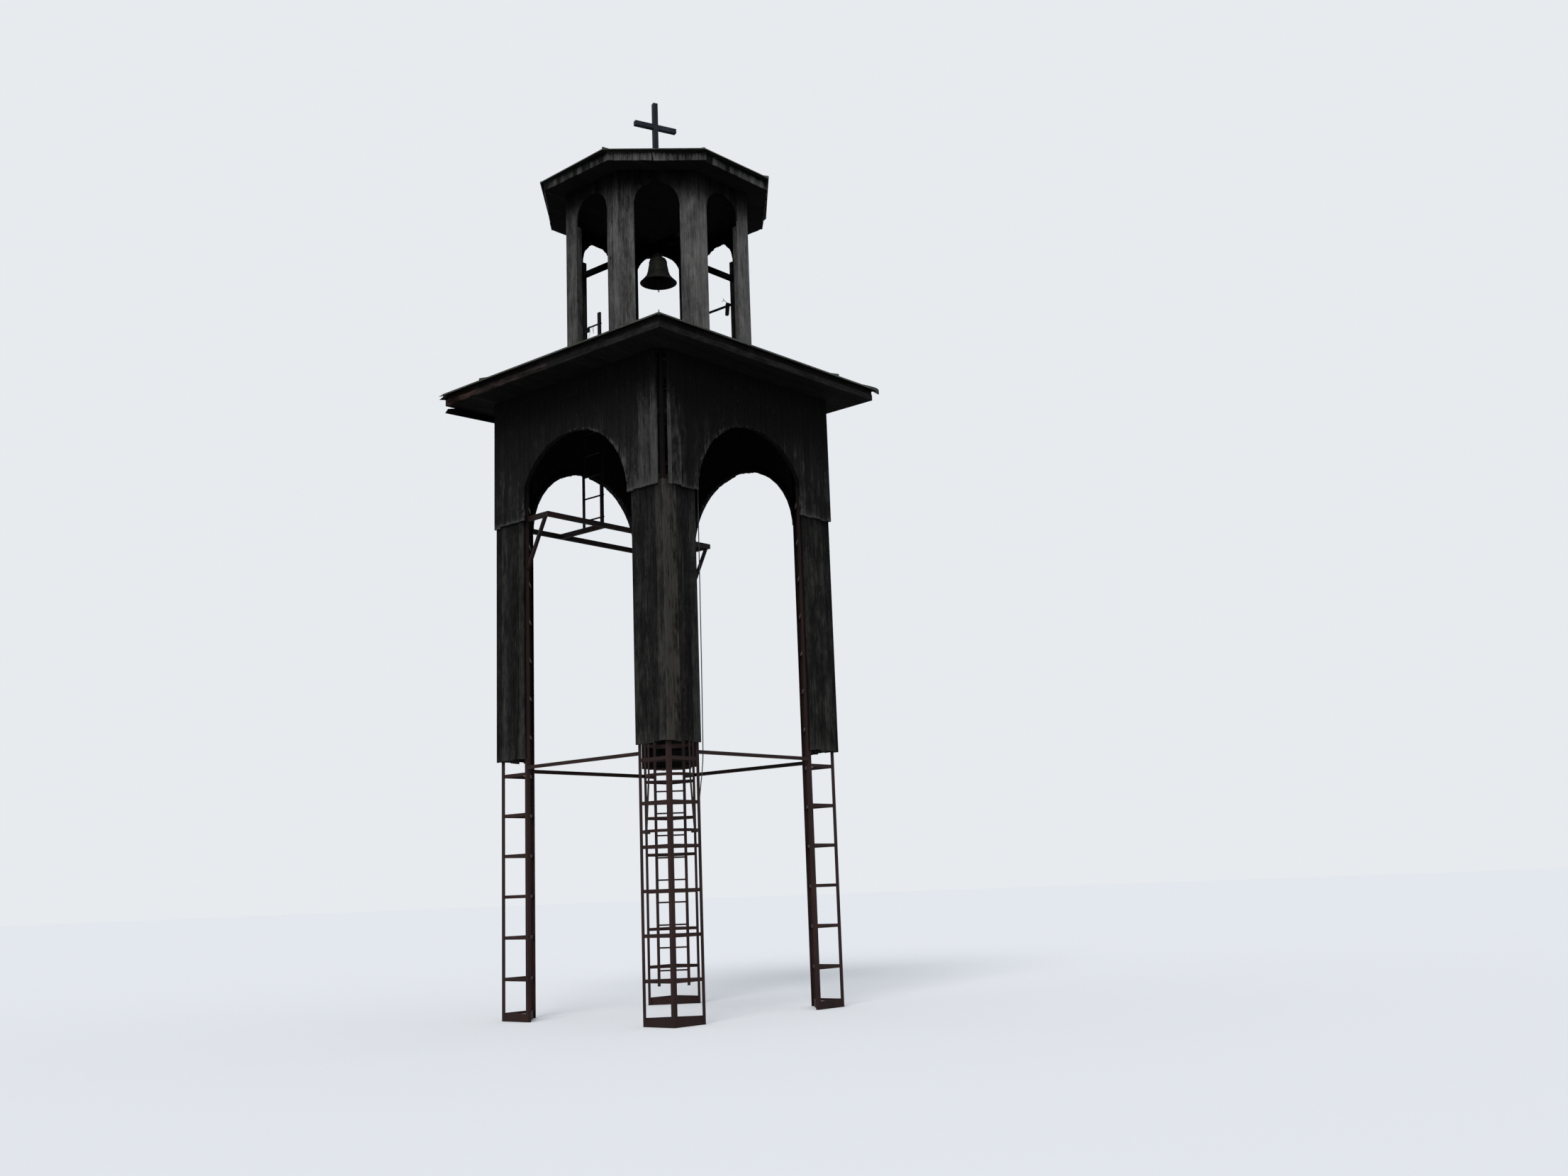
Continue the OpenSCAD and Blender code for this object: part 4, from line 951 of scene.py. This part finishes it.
def belfry_roof():
    """Eight slopes, a little askew: set-back sheathing, sheets with a lip, and folds along the hips."""
    edge, rim = BELFRY_EAVE_Z + 0.010, BELFRY_EAVE_Z + 0.025
    peak_a, wood_a, inner_a = 0.03, BELFRY_ROOF_A - 0.020, 1.0
    sheet_tones = (0.3, 0.8, 0.1, 0.55, 0.9, 0.2, 0.7, 0.4)
    up = Vector((0, 0, 1))
    under, sheets = Boards(), Boards()

    def at(k, apothem, z):
        """The corner between face k and the next one, at a height. All but one are turned askew."""
        angle = math.radians(-90 + 45 * (k + 0.5) - (0.0 if k % 8 == 7 else BELFRY_ASKEW))
        r = apothem / math.cos(math.radians(22.5))
        return Vector((r * math.cos(angle), r * math.sin(angle), z))

    def rise(k, apothem):
        """How far a corner lies over the eave. One droops at the eave."""
        droop = 0.012 if k % 8 == 5 and apothem == BELFRY_ROOF_A else 0.0
        return (BELFRY_ROOF_A - apothem) * math.tan(PITCH) - droop

    for face in range(8):
        under.solid([[at(face - 1, wood_a, outer_z), at(face, wood_a, outer_z), at(face, inner_a, inner_z),
                      at(face - 1, inner_a, inner_z)]
                     for outer_z, inner_z in ((BELFRY_EAVE_Z - 0.012, BELFRY_EAVE_Z + 0.1),
                                              (edge, edge + rise(face, inner_a)))], 0.5, 0.2)
        plan = ((face - 1, BELFRY_ROOF_A), (face, BELFRY_ROOF_A), (face, peak_a), (face - 1, peak_a))
        sheets.solid([[at(k, a, z + rise(k, a)) for k, a in plan] for z in (edge, rim)], sheet_tones[face])
    peak_z, cap_half = rim + rise(0, peak_a), 0.052
    sheets.box(Matrix.Rotation(math.radians(-20), 4, "Z"), (-cap_half, -cap_half, peak_z - 0.03),
               (cap_half, cap_half, peak_z + 0.006))
    sunk = 0.008
    for k in range(8):
        tall = {5: 0.004, 7: 0.012}.get(k, 0.024)
        end = 0.6 * tall if k == 7 else tall
        side = up.cross(at(k, 1.0, 0.0).normalized()) * HIP_T / 2
        rings = []
        for a, h in ((peak_a + 0.03, tall), (BELFRY_ROOF_A - 0.05, tall), (BELFRY_ROOF_A, end)):
            foot = at(k, a, rim + rise(k, a) - sunk)
            top = foot + up * (h + sunk)
            rings.append([foot - side, foot + side, top + side, top - side])
        sheets.solid(rings)
    under.make("belfry_sheathing", "black_boards_x")
    sheets.make("belfry_roof_sheets", "roof_sheet", ["belfry_roof"])


# Small things in the belfry

def rod_with_clamp():
    """The rod across the right opening. On it hang a leaning clamp plate and ends of wire."""
    solids = Boards()
    x, y = BELFRY_A - COLUMN_D / 2, -2 * OPEN_HALF / 3
    solids.tube([(x, -OPEN_HALF, ROD_Z), (x, OPEN_HALF, ROD_Z)], ROD_R, 20)
    lean = Matrix.Translation((x, y, ROD_Z)) @ Matrix.Rotation(math.radians(8), 4, "X")
    plate = [(0.030, 0.022), (-0.030, 0.022), (-0.027, -0.128), (-0.018, -0.140), (0.010, -0.142),
             (0.023, -0.134)]
    solids.solid([[lean @ Vector((w, u, v)) for u, v in plate] for w in (-0.013, 0.013)])
    solids.box(lean, (-0.022, -0.028, 0.010), (0.022, 0.020, 0.038))
    wires = (((0.0, 0.0, 0.03), (-0.018, 0.020, 0.066), (-0.036, 0.042, 0.098), (-0.0406, 0.0474, 0.1158)),
             ((-0.030, 0.035, 0.088), (-0.046, 0.054, 0.072), (-0.0514, 0.060, 0.0635)),
             ((0.0, 0.0, 0.03), (-0.004, 0.004, 0.048), (-0.0072, 0.0085, 0.0566)))
    for wire in wires:
        solids.tube([(x + dx, y + dy, ROD_Z + dz) for dx, dy, dz in wire], 0.0035, 6)
    solids.make("belfry_rod_and_clamp", "primed_steel", ["belfry_rod"])


def ladder_ends():
    """Rung ends that stand out of the upper ladder's front rail, and what hangs from its top rung."""
    solids, wires = Boards(), Boards()
    x = (low("upper_ladder").x + high("upper_ladder").x) / 2
    front = low("upper_ladder").y
    first_rung, rung_step, joist_rung = 6.395, 0.3, 5
    for k in range(10):
        if k != joist_rung:
            z = first_rung + rung_step * k
            solids.tube([(x, front + 0.004, z), (x, front - 0.012, z)], 0.011, 12)
    nut_at = Matrix.Translation((x, 0.882, 9.083))
    solids.box(nut_at, (-0.016, -0.022, -0.048), (0.016, 0.022, 0.004))
    solids.make("ladder_rung_ends", "primed_steel")
    for path in (((0.0, 0.872, 9.09), (0.0, 0.868, 9.112), (0.0, 0.850, 9.118), (0.0, 0.842, 9.095)),
                 ((0.0, 0.846, 9.088), (0.004, 0.838, 9.03), (0.0, 0.853, 8.985), (0.0, 0.872, 8.952)),
                 ((0.0, 0.800, 9.088), (0.003, 0.790, 9.05), (0.0, 0.772, 9.03), (0.002, 0.770, 8.985)),
                 ((0.0, 0.760, 9.090), (0.003, 0.768, 9.045), (0.0, 0.785, 9.010))):
        wires.tube([(x + dx, y, z) for dx, y, z in path], 0.0022, 6)
    wires.make("ladder_wires", "grey_rope")


# What stays as it is in the CAD model, with its finish

def finish_nodes():
    finishes = {
        "primed_steel": [f"{leg}_leg" for leg in LEGS] + [
            "tie_bars", "floor_frame", "lower_ladder", "ladder_cage", "landing_beams", "landing_cross_beam",
            "landing_brackets", "upper_ladder"],
        "matt_steel": ["bell_frame"],
        "rough_concrete": ["footings"],
        "fascia_boards_x": ["back_fascia"],
        "bell_metal": ["bell", "clapper"],
        "dark_paint": ["cross"],
    }
    for material, nodes in finishes.items():
        for node in nodes:
            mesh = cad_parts[node].data
            mesh.materials.clear()
            mesh.materials.append(MATERIALS[material])


# The rope: the same route as in the CAD model

ROPE = [
    (-0.870, -1.475, 7.820), (-0.869, -1.467, 6.500), (-0.868, -1.460, 5.400), (-0.868, -1.456, 4.600),
    (-0.870, -1.450, 3.800), (-0.872, -1.445, 3.250), (-0.873, -1.444, 3.120), (-0.876, -1.444, 3.040),
    (-0.888, -1.448, 2.960), (-0.910, -1.455, 2.850), (-0.936, -1.460, 2.730), (-0.962, -1.466, 2.620),
    (-0.984, -1.472, 2.530), (-0.994, -1.476, 2.480), (-0.994, -1.477, 2.400),
]
ROPE_D = 0.012


def rope():
    curve = bpy.data.curves.new("bell_rope_line", "CURVE")
    curve.dimensions = "3D"
    curve.bevel_depth = ROPE_D / 2
    curve.bevel_resolution = 3
    line = curve.splines.new("POLY")
    line.points.add(len(ROPE) - 1)
    for point, place in zip(line.points, ROPE):
        point.co = (*place, 1.0)
    curve.use_fill_caps = True
    curve.materials.append(MATERIALS["grey_rope"])
    piece = new_object("bell_rope_line", curve)
    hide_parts("bell_rope")
    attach(piece, TOWER)


# Floor, world and light. The camera sees paler colours than those that light the tower.

FLOOR_HALF = 400.0
FLOOR_LIGHTING, FLOOR_SEEN = (0.34, 0.34, 0.34), (0.80, 0.81, 0.82)
SKY_LIGHTING, SKY_SEEN = (0.80, 0.84, 0.90), (0.80, 0.83, 0.86)
SKY_STRENGTH = 0.78
SUN_STRENGTH = 1.6
SUN_SPREAD, SUN_TILT, SUN_TURN = (math.radians(a) for a in (25, 48, -62))


def make_stage():
    mesh = bpy.data.meshes.new("stage_floor")
    outline = oblong(-FLOOR_HALF, -FLOOR_HALF, FLOOR_HALF, FLOOR_HALF)
    mesh.from_pydata([(x, y, 0) for x, y in outline], [], [[0, 1, 2, 3]])
    shader = new_shader("stage_floor")
    seen = shader.add("LightPath").outputs["Is Camera Ray"]
    shader.dress(shader.mix(seen, FLOOR_LIGHTING, FLOOR_SEEN), 0.9, gloss=0.0)
    mesh.materials.append(MATERIALS["stage_floor"])
    new_object("stage_floor", mesh)


def make_light():
    world = bpy.data.worlds.new("studio")
    bpy.context.scene.world = world
    shader = Shader(world)
    ray = shader.add("LightPath").outputs
    mirrored = shader.larger(ray["Is Glossy Ray"], ray["Is Transmission Ray"])
    seen = shader.larger(ray["Is Camera Ray"], mirrored)
    shader.feed(world.node_tree.nodes["Background"], {
        "Color": shader.mix(seen, SKY_LIGHTING, SKY_SEEN),
        "Strength": shader.plus(SKY_STRENGTH, shader.times(seen, 1.0 - SKY_STRENGTH))})
    sun = bpy.data.lights.new("key", "SUN")
    sun.energy = SUN_STRENGTH
    sun.angle = SUN_SPREAD
    new_object("key", sun).rotation_euler = (SUN_TILT, 0, SUN_TURN)
    bpy.context.scene.view_settings.view_transform = "Standard"


make_camera()
rope()
finish_nodes()
for seed, (leg, sides) in enumerate(LEGS.items(), 10):
    leg_boarding(leg, sides, seed)
for side in range(4):
    arch_boarding(side, 20 + side)
eave_boarding(30)
for side in (0, 1, 3):
    fascia(side, 31 + side)
for side in range(4):
    square_roof(side, 60 + side)
for face in range(8):
    belfry_boarding(face, 40 + face)
belfry_eave(50)
belfry_roof()
rod_with_clamp()
ladder_ends()
nail_heads()
make_stage()
make_light()
